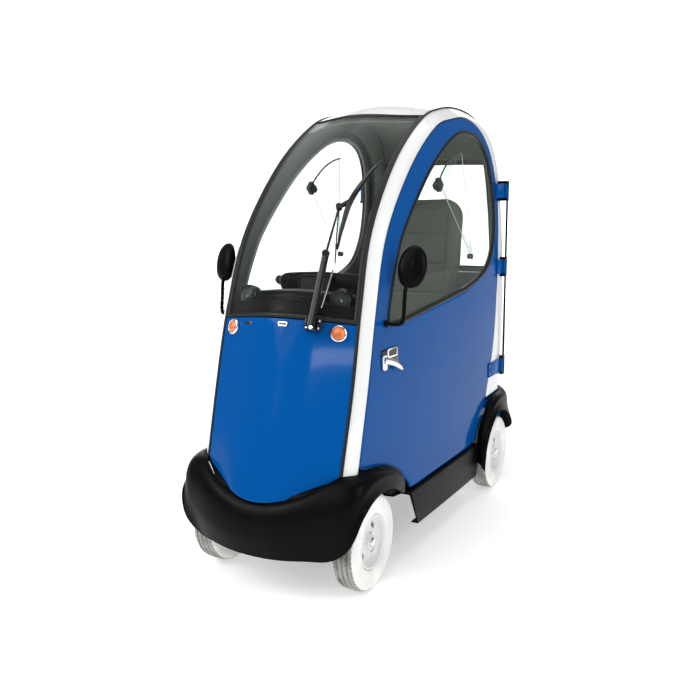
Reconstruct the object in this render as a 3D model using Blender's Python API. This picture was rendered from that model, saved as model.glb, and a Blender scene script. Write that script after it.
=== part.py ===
"""Enclosed four-wheel mobility scooter.

Metres, +Z up. The nose points to -Y and the driver's left is +X.
The origin is on the ground under the middle of the vehicle.
"""
import math

import bmesh
import bpy
from mathutils import Matrix, Vector

# ---------------------------------------------------------------- driving dimensions
GAP = 0.0004                    # clearance between touching pieces
FIT = 0.004                     # panel gap

WHEEL_RADIUS = 0.165
TYRE_HALF_WIDTH = 0.042
RIM_RADIUS = 0.0925
AXLE_Y = 0.580
FRONT_WHEEL_X = 0.277
REAR_WHEEL_X = 0.347
KINGPIN_X = 0.200
STUB_RADIUS = 0.0115

FRONT_BAND = 0.034              # width of the hoop across the car, at its front and rear
REAR_BAND = 0.045
HOOP_DEPTH = 0.030
DOOR_THICKNESS = 0.010
PANEL_THICKNESS = 0.004
GLASS_THICKNESS = 0.004
SEAL_WIDTH = 0.014

FLOOR_Z = 0.238
SEAT_Z = 0.560
SEAT_Y = 0.200
TILLER_PIVOT = Vector((0.0, -0.385, 0.880))
COLUMN_FOOT = Vector((0.0, -0.560, 0.262))

# Side profile of the body hoop, (y, z) from the front arch over the roof to the rear arch.
HOOP_EDGE = [
    (-0.660, 0.423), (-0.600, 0.657), (-0.521, 0.938), (-0.416, 1.179), (-0.203, 1.406),
    (0.030, 1.563), (0.203, 1.612), (0.371, 1.630), (0.530, 1.598), (0.639, 1.520),
    (0.695, 1.400), (0.711, 1.260), (0.692, 1.080), (0.657, 0.880), (0.611, 0.660),
    (0.520, 0.432),
]
HOOP_CREST = [
    (-0.706, 0.422), (-0.639, 0.662), (-0.560, 0.945), (-0.457, 1.192), (-0.246, 1.430),
    (0.000, 1.593), (0.188, 1.651), (0.383, 1.672), (0.575, 1.655), (0.709, 1.590),
    (0.781, 1.455), (0.802, 1.270), (0.804, 1.080), (0.796, 0.880), (0.779, 0.660),
    (0.739, 0.440),
]
# Crown of the skin between the hoops at the same stations.
CROWN = [0.086, 0.077, 0.072, 0.064, 0.055, 0.044, 0.034, 0.020, 0.020, 0.026,
         0.030, 0.030, 0.032, 0.036, 0.042, 0.056]
COWL_TOP = 1.80                 # stations along the hoop profile where panels meet
WINDSCREEN_HEAD = 5.14
HEAD_ARCH = 0.28                # stations by which the windscreen head dips in the middle
ROOF_REAR = 9.70
REAR_WINDOW_FOOT = 12.55
REAR_PANEL_FOOT = 14.98
PANEL_JOINT = 0.015             # gap between two skins, in stations
SKIN_EDGE = 0.001               # gap between a skin and the hoop beside it

# Window opening of the door, (y, z).
WINDOW = [
    (-0.443, 0.898), (-0.424, 0.963), (-0.370, 1.079), (-0.281, 1.205), (-0.052, 1.406),
    (0.186, 1.540), (0.370, 1.578), (0.510, 1.555), (0.597, 1.478), (0.639, 1.360),
    (0.649, 1.240), (0.617, 1.110), (0.517, 1.005), (0.302, 0.945), (0.099, 0.920),
    (-0.200, 0.889), (-0.368, 0.871), (-0.424, 0.872),
]
WINDOW_CENTRE = (0.130, 1.180)
# Lower edge of the door from the rear hoop to the front arch, (y, z).
DOOR_FOOT = [
    (0.500, 0.402), (0.424, 0.361), (0.371, 0.315), (0.344, 0.277), (0.314, 0.256),
    (0.153, 0.256), (-0.045, 0.256), (-0.260, 0.256), (-0.292, 0.282), (-0.366, 0.348),
    (-0.457, 0.394), (-0.549, 0.416),
]
SILL_TOP = 0.250
SILL_BOTTOM = 0.100

VENT_PIVOT = (0.376, 1.065)     # (y, z)
VENT_RADIUS = 0.430
VENT_START = 97.0               # degrees
VENT_END = 136.0

HINGE_AXIS_X = 0.361
HINGE_AXIS_Y = 0.706
HINGE_HEIGHTS = [0.548, 1.005, 1.345]
HINGE_HEIGHT = 0.088
HINGE_PIN_RADIUS = 0.0045
HINGE_BARREL_RADIUS = 0.0085

WHEEL_SEGMENTS = 20

HINGE_PLATE = 0.0055            # thickness of a hinge leaf
HANDLE_Y = -0.437
HANDLE_Z = 0.760
MIRROR_FOOT = (-0.466, 0.886)   # (y, z) on the door
MIRROR_HALF_WIDTH = 0.049
MIRROR_HALF_HEIGHT = 0.070
QUARTER_DEPTH = 0.008           # rear quarter panel behind the face of the door
FOOT_BAND = (0.385, 0.436)      # heights of the band under the rear panel

RAIL_X = 0.128
RAIL_Z = 0.218
RAIL_LENGTH = 1.440
RAIL_SIZE = (0.030, 0.036)
SEAT_POST_RADIUS = 0.024
ARM_REACH = 0.078               # steering arm behind the kingpin
AXLE_TUBE_RADIUS = 0.024

SEAT_CUSHION = (0.450, 0.430, 0.090)
SEAT_BACK_HALF_WIDTH = 0.243
SEAT_BACK_WAIST = 0.225         # half width between the armrest posts
SEAT_BACK_WAIST_TOP = 0.260
SEAT_BACK_FLARE = 0.330         # height at which the full width is reached
SEAT_BACK_HEIGHT = 0.650
SEAT_BACK_DEPTH = 0.092
SEAT_BACK_LEAN = 7.0            # degrees
SHOULDER_RADIUS = 0.085
ARMREST = (0.046, 0.310, 0.036)
ARMREST_X = 0.276

CONSOLE_CENTRE = TILLER_PIVOT + Vector((0.0, 0.020, 0.070))
CONSOLE_SIZE = (0.150, 0.110, 0.150)
CONSOLE_TURN = Matrix.Rotation(math.radians(-18.0), 3, "X")
HORN_TRAVEL = 0.003
COLUMN_RADIUS = 0.016
GRIP_RADIUS = 0.015
SHROUD_RADIUS = 0.028
# Right half of the handlebar loop from the tiller pivot, grip end first.
HANDLEBAR = [(0.225, 0.150, 0.107), (0.210, 0.080, 0.125), (0.120, 0.045, 0.130)]
HANDLEBAR_MIDDLE = (0.0, 0.035, 0.130)

WIPER_STATION = COWL_TOP - 0.045
WIPER_ACROSS = 0.48
WIPER_TILT = 24.0               # degrees the spindle leans down from the glass normal

# Each bumper station is (top edge on the body, widest point, lower edge), left half, centre first.
FRONT_BUMPER = [
    ((0.000, -0.800, 0.332), (0.000, -0.846, 0.235), (0.000, -0.828, 0.150)),
    ((0.090, -0.801, 0.342), (0.095, -0.842, 0.240), (0.095, -0.824, 0.153)),
    ((0.180, -0.776, 0.374), (0.190, -0.822, 0.252), (0.190, -0.804, 0.160)),
    ((0.245, -0.733, 0.412), (0.270, -0.792, 0.275), (0.262, -0.776, 0.162)),
    ((0.288, -0.703, 0.422), (0.330, -0.762, 0.318), (0.330, -0.772, 0.215)),
    ((0.313, -0.660, 0.424), (0.354, -0.715, 0.365), (0.362, -0.745, 0.300)),
    ((0.321, -0.600, 0.423), (0.360, -0.640, 0.392), (0.368, -0.665, 0.345)),
    ((0.324, -0.540, 0.413), (0.362, -0.560, 0.390), (0.370, -0.580, 0.352)),
    ((0.327, -0.467, 0.392), (0.362, -0.480, 0.368), (0.369, -0.500, 0.334)),
    ((0.331, -0.400, 0.362), (0.358, -0.415, 0.335), (0.364, -0.440, 0.300)),
    ((0.333, -0.370, 0.335), (0.350, -0.380, 0.310), (0.356, -0.395, 0.282)),
]
REAR_BUMPER = [
    ((0.000, 0.810, 0.448), (0.000, 0.845, 0.340), (0.000, 0.838, 0.215)),
    ((0.120, 0.808, 0.448), (0.125, 0.845, 0.340), (0.125, 0.838, 0.212)),
    ((0.230, 0.798, 0.448), (0.240, 0.838, 0.340), (0.240, 0.836, 0.208)),
    ((0.300, 0.780, 0.445), (0.325, 0.818, 0.345), (0.330, 0.828, 0.204)),
    ((0.350, 0.740, 0.436), (0.380, 0.780, 0.365), (0.400, 0.806, 0.235)),
    ((0.363, 0.680, 0.428), (0.392, 0.715, 0.390), (0.408, 0.745, 0.300)),
    ((0.364, 0.600, 0.425), (0.396, 0.625, 0.405), (0.410, 0.650, 0.350)),
    ((0.363, 0.530, 0.402), (0.396, 0.530, 0.388), (0.410, 0.550, 0.358)),
    ((0.361, 0.456, 0.345), (0.394, 0.450, 0.330), (0.410, 0.470, 0.320)),
    ((0.359, 0.420, 0.297), (0.390, 0.410, 0.270), (0.406, 0.414, 0.258)),
    ((0.358, 0.404, 0.250), (0.386, 0.396, 0.220), (0.402, 0.400, 0.190)),
    ((0.358, 0.400, 0.160), (0.384, 0.394, 0.145), (0.400, 0.396, 0.125)),
]
MOULDING_THICKNESS = 0.005
BUMPER_WIDTH = 0.977

# Takes a flat outline's first axis to +Y, its second to +Z and its thickness to +X.
YZ_PLANE = Matrix(((0.0, 0.0, 1.0, 0.0), (1.0, 0.0, 0.0, 0.0), (0.0, 1.0, 0.0, 0.0),
                   (0.0, 0.0, 0.0, 1.0)))


# ---------------------------------------------------------------- shape helpers
def side_x(y, z):
    """Half width of the body side at (y, z): it tapers to the nose and leans in above the waist."""
    above = max(z - 0.600, 0.0)
    ahead = max(0.250 - y, 0.0)
    lean = (0.055 + 0.050 * ahead * ahead) * above * above
    return 0.332 + 0.0405 * y - 0.018 * y * y - lean


def spline(points, t):
    """Catmull-Rom curve through the points; t counts points."""
    last = len(points) - 1
    i = min(max(int(math.floor(t)), 0), last - 1)
    f = t - i
    p1 = points[i]
    p2 = points[i + 1]
    scalar = not hasattr(p1, "__len__")
    if scalar:
        p0 = points[i - 1] if i > 0 else 2.0 * p1 - p2
        p3 = points[i + 2] if i + 2 <= last else 2.0 * p2 - p1
        quads = [(p0, p1, p2, p3)]
    else:
        p0 = points[i - 1] if i > 0 else [2.0 * a - b for a, b in zip(p1, p2)]
        p3 = points[i + 2] if i + 2 <= last else [2.0 * b - a for a, b in zip(p1, p2)]
        quads = list(zip(p0, p1, p2, p3))
    values = []
    for a, b, c, d in quads:
        cubic = (-a + 3.0 * b - 3.0 * c + d) * f ** 3
        square = (2.0 * a - 5.0 * b + 4.0 * c - d) * f ** 2
        values.append(0.5 * (cubic + square + (c - a) * f) + b)
    return values[0] if scalar else Vector(values)


def band(t):
    """Width of the hoop across the car at a station of its profile."""
    blend = min(max((t - 3.0) / 5.0, 0.0), 1.0)
    return FRONT_BAND + (REAR_BAND - FRONT_BAND) * blend * blend * (3.0 - 2.0 * blend)


def outward(curve, t):
    """Unit normal of a (y, z) profile at t, pointing away from the cabin."""
    ahead = spline(curve, t + 0.01)
    behind = spline(curve, t - 0.01)
    tangent = (ahead - behind).normalized()
    return Vector((-tangent.y, tangent.x))


def span(start, end, count):
    return [start + (end - start) * k / (count - 1) for k in range(count)]


def skin_point(t, u):
    """Crowned skin between the hoops: t runs along the profile, u across from -1 to 1."""
    y, z = spline(HOOP_CREST, t)
    normal = outward(HOOP_CREST, t)
    bell = 0.5 * math.cos(math.pi * u / 2.0) ** 2
    crown = spline(CROWN, t) * (bell + 0.5 * (1.0 - abs(u) ** 2.4))
    return Vector((u * (side_x(y, z) - band(t)), y + normal.x * crown, z + normal.y * crown))


def skin_normal(t, u):
    step = 0.02
    along = skin_point(t + step, u) - skin_point(t - step, u)
    inner = min(abs(u), 1.0 - step)
    side = math.copysign(inner, u)
    across = skin_point(t, side + step) - skin_point(t, side - step)
    return across.cross(along).normalized()


def skin(t, u, lift=0.0):
    return skin_point(t, u) + skin_normal(t, u) * lift


def head_station(u):
    """Station of the windscreen's head, which dips towards the middle."""
    return WINDSCREEN_HEAD - HEAD_ARCH * (1.0 - u * u)


def inset_u(t, u, margin):
    """Place across the skin, held back from each hoop by the margin."""
    half = skin_point(t, 1.0).x
    return u * (half - margin) / half


def skin_grid(start, end, count, u_values, lift=0.0, margin=0.0):
    """Grid on the skin from one station to another, each given as a function of u."""
    rows = []
    for step in span(0.0, 1.0, count):
        row = []
        for u in u_values:
            t = start(u) + (end(u) - start(u)) * step
            row.append(skin(t, inset_u(t, u, margin), lift))
        rows.append(row)
    return rows


# ---------------------------------------------------------------- mesh helpers
def grid_shell(bm, outer, inner, closed_rows=False):
    """Closed solid between two matching grids of points."""
    rows = len(outer)
    columns = len(outer[0])
    top = [[bm.verts.new(p) for p in row] for row in outer]
    bottom = [[bm.verts.new(p) for p in row] for row in inner]
    loops = rows if closed_rows else rows - 1
    for i in range(loops):
        k = (i + 1) % rows
        for j in range(columns - 1):
            bm.faces.new((top[i][j], top[i][j + 1], top[k][j + 1], top[k][j]))
            bm.faces.new((bottom[i][j], bottom[k][j], bottom[k][j + 1], bottom[i][j + 1]))
        bm.faces.new((top[i][0], top[k][0], bottom[k][0], bottom[i][0]))
        bm.faces.new((top[i][-1], bottom[i][-1], bottom[k][-1], top[k][-1]))
    if not closed_rows:
        for j in range(columns - 1):
            bm.faces.new((top[0][j], bottom[0][j], bottom[0][j + 1], top[0][j + 1]))
            bm.faces.new((top[-1][j], top[-1][j + 1], bottom[-1][j + 1], bottom[-1][j]))


def loft(bm, sections, closed=False):
    """Closed solid through loops of the same length, capped unless it closes on itself."""
    loops = [[bm.verts.new(p) for p in section] for section in sections]
    size = len(loops[0])
    count = len(loops) if closed else len(loops) - 1
    for i in range(count):
        here = loops[i]
        there = loops[(i + 1) % len(loops)]
        for j in range(size):
            k = (j + 1) % size
            bm.faces.new((here[j], here[k], there[k], there[j]))
    if not closed:
        bm.faces.new(list(reversed(loops[0])))
        bm.faces.new(loops[-1])


def box(bm, centre, size, turn=None):
    matrix = Matrix.Translation(centre)
    if turn is not None:
        matrix = matrix @ turn.to_4x4()
    matrix = matrix @ Matrix.Diagonal((size[0], size[1], size[2], 1.0))
    return bmesh.ops.create_cube(bm, size=1.0, matrix=matrix)["verts"]


def between(start, end):
    """Rotation that takes +Z to the direction from start to end."""
    return (Vector(end) - Vector(start)).to_track_quat("Z", "Y").to_matrix()


def rod(bm, start, end, radius, segments=10, end_radius=None):
    start = Vector(start)
    end = Vector(end)
    matrix = Matrix.Translation((start + end) / 2.0) @ between(start, end).to_4x4()
    bmesh.ops.create_cone(
        bm, cap_ends=True, segments=segments, radius1=radius,
        radius2=radius if end_radius is None else end_radius,
        depth=(end - start).length, matrix=matrix)


def bent_bar(bm, points, radius, segments=8):
    """Round bar along a path of points, mitred at each bend."""
    points = [Vector(p) for p in points]
    normal = None
    sections = []
    for i, point in enumerate(points):
        before = points[max(i - 1, 0)]
        after = points[min(i + 1, len(points) - 1)]
        tangent = (after - before).normalized()
        if normal is None:
            normal = tangent.orthogonal().normalized()
        normal = (normal - tangent * normal.dot(tangent)).normalized()
        binormal = tangent.cross(normal)
        stretch = 1.0
        if 0 < i < len(points) - 1:
            bend = (point - before).angle(after - point)
            stretch = 1.0 / math.cos(bend / 2.0)
        loop = []
        for k in range(segments):
            angle = 2.0 * math.pi * k / segments
            offset = normal * math.cos(angle) + binormal * math.sin(angle)
            loop.append(point + offset * radius * (1.0 + (stretch - 1.0) * 0.5))
        sections.append(loop)
    loft(bm, sections)


def lathe(bm, profile, centre, segments=WHEEL_SEGMENTS, phase=0.0):
    """Ring solid from a closed (x, radius) profile turned about the X direction."""
    sections = []
    for k in range(segments):
        angle = 2.0 * math.pi * (k + phase) / segments
        loop = []
        for x, radius in profile:
            loop.append(Vector((
                centre[0] + x,
                centre[1] + radius * math.sin(angle),
                centre[2] - radius * math.cos(angle))))
        sections.append(loop)
    loft(bm, sections, closed=True)


def prism(bm, outline, thickness, place):
    """Extrude a 2D outline by the thickness along its own +Z and place it."""
    lower = [place @ Vector((p[0], p[1], 0.0)) for p in outline]
    upper = [place @ Vector((p[0], p[1], thickness)) for p in outline]
    loft(bm, [lower, upper])


def arc(centre, radius, start, end, count):
    points = []
    for angle in span(math.radians(start), math.radians(end), count):
        points.append((centre[0] + radius * math.cos(angle), centre[1] + radius * math.sin(angle)))
    return points


def colour(name, rgb, roughness, metallic=0.0, alpha=1.0):
    material = bpy.data.materials.new(name)
    material.use_nodes = True
    shader = material.node_tree.nodes["Principled BSDF"]
    shader.inputs["Base Color"].default_value = (*rgb, 1.0)
    shader.inputs["Roughness"].default_value = roughness
    shader.inputs["Metallic"].default_value = metallic
    shader.inputs["Alpha"].default_value = alpha
    return material


def add(name, bm, finish, pivot=(0.0, 0.0, 0.0), parent=None, smooth=30.0):
    """Turn the bmesh into a named object whose origin is the pivot."""
    bmesh.ops.recalc_face_normals(bm, faces=bm.faces)
    bmesh.ops.transform(bm, matrix=Matrix.Translation(-Vector(pivot)), verts=bm.verts)
    mesh = bpy.data.meshes.new(name)
    bm.to_mesh(mesh)
    bm.free()
    mesh.materials.append(finish)
    mesh.shade_smooth()
    mesh.set_sharp_from_angle(angle=math.radians(smooth))
    thing = bpy.data.objects.new(name, mesh)
    bpy.context.collection.objects.link(thing)
    thing.location = pivot
    if parent is not None:
        thing.parent = parent
        thing.matrix_parent_inverse = Matrix.Translation(-parent.matrix_world.translation)
    bpy.context.view_layer.update()
    return thing


def side_name(base, side):
    return base + ("_left" if side > 0 else "_right")


def sided(points, side):
    return [Vector((side * p[0], p[1], p[2])) for p in points]


# ---------------------------------------------------------------- body skins
def skin_panel(name, start, end, rows, columns, finish, thickness, margin):
    across = span(-1.0, 1.0, columns)
    bm = bmesh.new()
    outer = skin_grid(start, end, rows, across, 0.0, margin)
    inner = skin_grid(start, end, rows, across, -thickness, margin)
    grid_shell(bm, outer, inner)
    return add(name, bm, finish)


def build_skins(finish):
    front_cowl(finish["blue"])
    margin = SEAL_WIDTH + 0.001
    skin_panel("windscreen", lambda u: COWL_TOP + 0.06, lambda u: head_station(u) - 0.07, 10, 9,
               finish["clear"], GLASS_THICKNESS, margin)
    windscreen_seal(finish["rubber"])
    skin_panel("roof_panel", lambda u: head_station(u) + 0.02, lambda u: ROOF_REAR, 8, 9,
               finish["white"], PANEL_THICKNESS, SKIN_EDGE)
    skin_panel("rear_window", lambda u: ROOF_REAR + PANEL_JOINT, lambda u: REAR_WINDOW_FOOT, 7, 7,
               finish["tint"], PANEL_THICKNESS, SKIN_EDGE)
    rear_panel(finish)


def front_cowl(finish):
    """Nose panel: its foot dips in the middle, behind the bumper."""
    across = span(-1.0, 1.0, 11)
    grids = []
    for lift in (0.0, -PANEL_THICKNESS):
        rows = []
        for step in span(0.0, 1.0, 6):
            row = []
            for u in across:
                foot = -0.44 + 0.44 * u * u
                t = foot + (COWL_TOP - foot) * step
                row.append(skin(t, u * 0.995, lift))
            rows.append(row)
        grids.append(rows)
    bm = bmesh.new()
    grid_shell(bm, grids[0], grids[1])
    add("front_cowl", bm, finish)


def windscreen_seal(finish):
    """Rubber ring that the windscreen sits in."""
    foot = COWL_TOP + 0.008
    inner_foot = foot + 0.048
    head_lift = 0.005
    head_drop = -0.066
    sections = []

    def rail(side):
        head = head_station(side) + head_lift
        inner_head = head_station(side) + head_drop
        return [(foot + (head - foot) * step, side,
                 inner_foot + (inner_head - inner_foot) * step, side)
                for step in span(0.0, 1.0, 10)]

    path = rail(1.0)
    for u in span(1.0, -1.0, 9)[1:-1]:
        path.append((head_station(u) + head_lift, u, head_station(u) + head_drop, u))
    path += reversed(rail(-1.0))
    for u in span(-1.0, 1.0, 7)[1:-1]:
        path.append((foot, u, inner_foot, u))
    for t_out, u_out, t_in, u_in in path:
        outer_u = inset_u(t_out, u_out, SKIN_EDGE)
        inner_u = inset_u(t_in, u_in, SEAL_WIDTH + 0.0005)
        sections.append([
            skin(t_out, outer_u, 0.002), skin(t_in, inner_u, 0.002),
            skin(t_in, inner_u, -0.007), skin(t_out, outer_u, -0.007)])
    bm = bmesh.new()
    loft(bm, sections, closed=True)
    add("windscreen_seal", bm, finish)


def hoop_sections(count):
    """Cross sections of the left hoop from the front arch to the rear arch."""
    sections = []
    last = len(HOOP_EDGE) - 1
    for t in span(0.0, last, count):
        edge = spline(HOOP_EDGE, t)
        crest = spline(HOOP_CREST, t)
        reach = crest - edge
        width = band(t)
        shoulder = edge + reach * max(0.10, 1.0 - width / max(reach.length, width))
        down_edge = outward(HOOP_EDGE, t)
        down_crest = outward(HOOP_CREST, t)
        jamb = edge - down_edge * 0.020
        root = crest - down_crest * HOOP_DEPTH
        x_edge = side_x(edge.x, edge.y)
        x_shoulder = side_x(shoulder.x, shoulder.y)
        x_crest = side_x(crest.x, crest.y) - width
        x_root = side_x(root.x, root.y) - width
        x_jamb = side_x(jamb.x, jamb.y) - DOOR_THICKNESS - 0.006
        x_step = x_edge - DOOR_THICKNESS - 0.006
        sections.append([
            Vector((x_edge, edge.x, edge.y)),
            Vector((x_shoulder, shoulder.x, shoulder.y)),
            Vector((x_crest, crest.x, crest.y)),
            Vector((x_root, root.x, root.y)),
            Vector((x_jamb - 0.022, jamb.x, jamb.y)),
            Vector((x_jamb, jamb.x, jamb.y)),
            Vector((x_step, edge.x, edge.y))])
    return sections


def build_hoops(finish):
    sections = hoop_sections(31)
    for side in (1, -1):
        bm = bmesh.new()
        loft(bm, [sided(section, side) for section in sections])
        add(side_name("body_hoop", side), bm, finish["white"])


# ---------------------------------------------------------------- bumpers and sills
def moulding_point(stations, s, v):
    """Point on a bumper: s counts stations from the centre, v runs from the top edge to the lip."""
    mirror = -1.0 if s < 0.0 else 1.0
    s = abs(s)
    ring = []
    for k in range(3):
        track = [(station[k][0] * BUMPER_WIDTH, *station[k][1:]) for station in stations]
        folded = [(-track[1][0], track[1][1], track[1][2])] + track
        ring.append(spline(folded, s + 1.0))
    top, widest, lip = ring
    side = min(v * 2.0, 1.0)
    lower = max(v * 2.0 - 1.0, 0.0)
    if v <= 0.5:
        # the upper half leaves the body outward and turns down into the face
        swing = side * math.pi / 2.0
        outwards = math.sin(swing)
        down = 1.0 - math.cos(swing)
        point = Vector((
            top.x + (widest.x - top.x) * outwards,
            top.y + (widest.y - top.y) * outwards,
            top.z + (widest.z - top.z) * down))
    else:
        # the lower half tucks in to the lip
        point = widest.lerp(lip, lower)
        tuck = 1.0 - (1.0 - lower) ** 2
        point.x = widest.x + (lip.x - widest.x) * tuck * lower
        point.y = widest.y + (lip.y - widest.y) * tuck * lower
    return Vector((mirror * point.x, point.y, point.z))


def moulding(name, stations, per_station, rows, finish):
    last = len(stations) - 1
    count = per_station * last * 2 + 1
    outer = []
    inner = []
    for s in span(-last, last, count):
        outer_row = []
        inner_row = []
        for v in span(0.0, 1.0, rows):
            step = 0.01
            here = moulding_point(stations, s, v)
            low = max(v - step, 0.0)
            high = min(v + step, 1.0)
            down = moulding_point(stations, s, high) - moulding_point(stations, s, low)
            back = max(s - step, -last)
            ahead = min(s + step, last)
            along = moulding_point(stations, ahead, v) - moulding_point(stations, back, v)
            normal = along.cross(down).normalized()
            if normal.dot(Vector((here.x, here.y, 0.0))) < 0.0:
                normal.negate()
            outer_row.append(here)
            inner_row.append(here - normal * MOULDING_THICKNESS)
        outer.append(outer_row)
        inner.append(inner_row)
    bm = bmesh.new()
    grid_shell(bm, outer, inner)
    add(name, bm, finish)


def build_mouldings(finish):
    moulding("front_bumper", FRONT_BUMPER, 1, 6, finish["black"])
    moulding("rear_bumper", REAR_BUMPER, 1, 5, finish["black"])


def quarter_edge():
    """Front edge of the quarter panel: the door's rear lower edge plus a panel gap."""
    edge = [Vector(p) for p in reversed(DOOR_FOOT[:5])] + [Vector((0.530, 0.440))]
    points = []
    for i, here in enumerate(edge[:-1]):
        before = edge[max(i - 1, 0)]
        along = (edge[i + 1] - before).normalized()
        points.append(tuple(here + Vector((along.y, -along.x)) * (FIT + 0.003)))
    return points


def rear_panel(finish):
    """Rear panel with a foot band that turns the corners into both quarter panels."""
    bm = bmesh.new()
    across = span(-1.0, 1.0, 7)
    grids = []
    for lift in (0.0, -PANEL_THICKNESS):
        grids.append(skin_grid(lambda u: REAR_WINDOW_FOOT + PANEL_JOINT,
                               lambda u: REAR_PANEL_FOOT, 5, across, lift, SKIN_EDGE))
    grid_shell(bm, grids[0], grids[1])
    outline = quarter_edge() + [(0.715, 0.430), (0.745, 0.390), (0.770, 0.300)]
    outline += arc((AXLE_Y, WHEEL_RADIUS), 0.190, 25.0, 150.0, 9)
    for side in (1, -1):
        layers = []
        for depth in (QUARTER_DEPTH, QUARTER_DEPTH + PANEL_THICKNESS):
            layers.append([Vector((side * (side_x(y, z) - depth), y, z)) for y, z in outline])
        loft(bm, layers)
    plan = [Vector((0.3505, 0.690)), Vector((0.3490, 0.725)), Vector((0.336, 0.742))]
    for u in span(1.0, -1.0, 9):
        foot = skin(REAR_PANEL_FOOT, u * 0.99)
        plan.append(Vector((foot.x, foot.y - 0.001)))
    plan += [Vector((-p.x, p.y)) for p in reversed(plan[:3])]
    sections = []
    low, high = FOOT_BAND
    for p in plan:
        inner = p * (1.0 - PANEL_THICKNESS / p.length)
        sections.append([Vector((p.x, p.y, low)), Vector((p.x, p.y, high)),
                         Vector((inner.x, inner.y, high)), Vector((inner.x, inner.y, low))])
    loft(bm, sections)
    joined("rear_panel", bm, finish["blue"])


# ---------------------------------------------------------------- doors
def ray_hit(outline, centre, angle):
    """Point where the ray from the centre at the angle crosses the closed outline."""
    direction = Vector((math.cos(angle), math.sin(angle)))
    best = None
    count = len(outline)
    for i in range(count):
        a = Vector(outline[i]) - Vector(centre)
        b = Vector(outline[(i + 1) % count]) - Vector(centre)
        edge = b - a
        denominator = direction.x * edge.y - direction.y * edge.x
        if abs(denominator) < 1e-12:
            continue
        reach = (a.x * edge.y - a.y * edge.x) / denominator
        along = (a.x * direction.y - a.y * direction.x) / denominator
        if reach > 0.0 and -1e-9 <= along <= 1.0 + 1e-9:
            if best is None or reach > best:
                best = reach
    return Vector(centre) + direction * best


def door_outline():
    """Door edge, (y, z): along the hoop with a panel gap, then the foot of the door."""
    last = len(HOOP_EDGE) - 1
    points = []
    for t in span(0.02, last, 27):
        edge = spline(HOOP_EDGE, t)
        points.append(tuple(edge - outward(HOOP_EDGE, t) * FIT))
    return points + DOOR_FOOT


def window_outline(inset, count=36):
    """Window opening as a closed smooth outline, moved inward by the inset."""
    closed = [WINDOW[-1]] + WINDOW + WINDOW[:2]
    points = []
    for t in span(1.0, len(WINDOW) + 1.0, count + 1)[:-1]:
        here = spline(closed, t)
        tangent = (spline(closed, t + 0.02) - spline(closed, t - 0.02)).normalized()
        inward = Vector((tangent.y, -tangent.x))
        points.append(tuple(here + inward * inset))
    return points


def on_side(point, depth, side):
    y, z = point[0], point[1]
    return Vector((side * (side_x(y, z) - depth), y, z))


def door_panel(name, side, finish, pivot):
    """Door skin as a ring between the window opening and the door edge."""
    centre = WINDOW_CENTRE
    outline = door_outline()
    opening = window_outline(0.0)
    angles = sorted(math.atan2(p[1] - centre[1], p[0] - centre[0]) for p in outline + opening)
    rows_outer = []
    rows_inner = []
    for angle in angles:
        near = ray_hit(opening, centre, angle)
        far = ray_hit(outline, centre, angle)
        row = [near, near.lerp(far, 0.5), far]
        rows_outer.append([on_side(place, 0.0, side) for place in row])
        rows_inner.append([on_side(place, DOOR_THICKNESS, side) for place in row])
    bm = bmesh.new()
    grid_shell(bm, rows_outer, rows_inner, closed_rows=True)
    hinge_ears(bm, side, pivot)
    return joined(name, bm, finish, pivot)


def window_ring(name, side, finish, pivot, parent):
    outer = window_outline(GAP)
    inner = window_outline(SEAL_WIDTH)
    sections = []
    for far, near in zip(outer, inner):
        sections.append([on_side(far, -0.002, side), on_side(near, -0.002, side),
                         on_side(near, DOOR_THICKNESS, side), on_side(far, DOOR_THICKNESS, side)])
    bm = bmesh.new()
    loft(bm, sections, closed=True)
    add(name, bm, finish, pivot, parent)


def vent_sector(grow):
    """Outline of the swing pane, (y, z): a slice with its blunt point at the pivot."""
    middle = math.radians((VENT_START + VENT_END) / 2.0)
    along = Vector((math.cos(middle), math.sin(middle)))
    across = Vector((-along.y, along.x)) * (0.014 + 0.6 * grow)
    point = Vector(VENT_PIVOT) - along * (0.012 + 2.6 * grow)
    turn = grow / VENT_RADIUS * 0.7
    rim_arc = arc(VENT_PIVOT, VENT_RADIUS + grow, VENT_START - math.degrees(turn),
                  VENT_END + math.degrees(turn), 9)
    return [tuple(point - across)] + rim_arc + [tuple(point + across)]


def door_glass(name, side, finish, pivot, parent):
    """Side glass, open where the swing pane covers it."""
    outline = window_outline(SEAL_WIDTH + GAP)
    centre = Vector(WINDOW_CENTRE)
    bm = bmesh.new()
    layers = []
    for depth in (0.002, 0.002 + GLASS_THICKNESS):
        hub = bm.verts.new(on_side(centre, depth, side))
        rings = []
        for f in (0.34, 0.67, 1.0):
            rings.append([bm.verts.new(on_side(centre.lerp(Vector(p), f), depth, side))
                          for p in outline])
        count = len(outline)
        for k in range(count):
            n = (k + 1) % count
            bm.faces.new((hub, rings[0][k], rings[0][n]))
            for a, b in zip(rings[:-1], rings[1:]):
                bm.faces.new((a[k], b[k], b[n], a[n]))
        layers.append(rings[-1])
    for k in range(len(outline)):
        n = (k + 1) % len(outline)
        bm.faces.new((layers[0][k], layers[0][n], layers[1][n], layers[1][k]))
    glass = add(name, bm, finish, pivot, parent)
    cutter_bm = bmesh.new()
    place = Matrix.Translation((side * 0.250, 0.0, 0.0)) @ YZ_PLANE
    prism(cutter_bm, vent_sector(-0.018), side * 0.150, place)
    cutter = add(name + "_cutter", cutter_bm, finish)
    cutter.hide_render = True
    cutter.display_type = "WIRE"
    cut = glass.modifiers.new("vent opening", "BOOLEAN")
    cut.operation = "DIFFERENCE"
    cut.object = cutter


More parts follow.
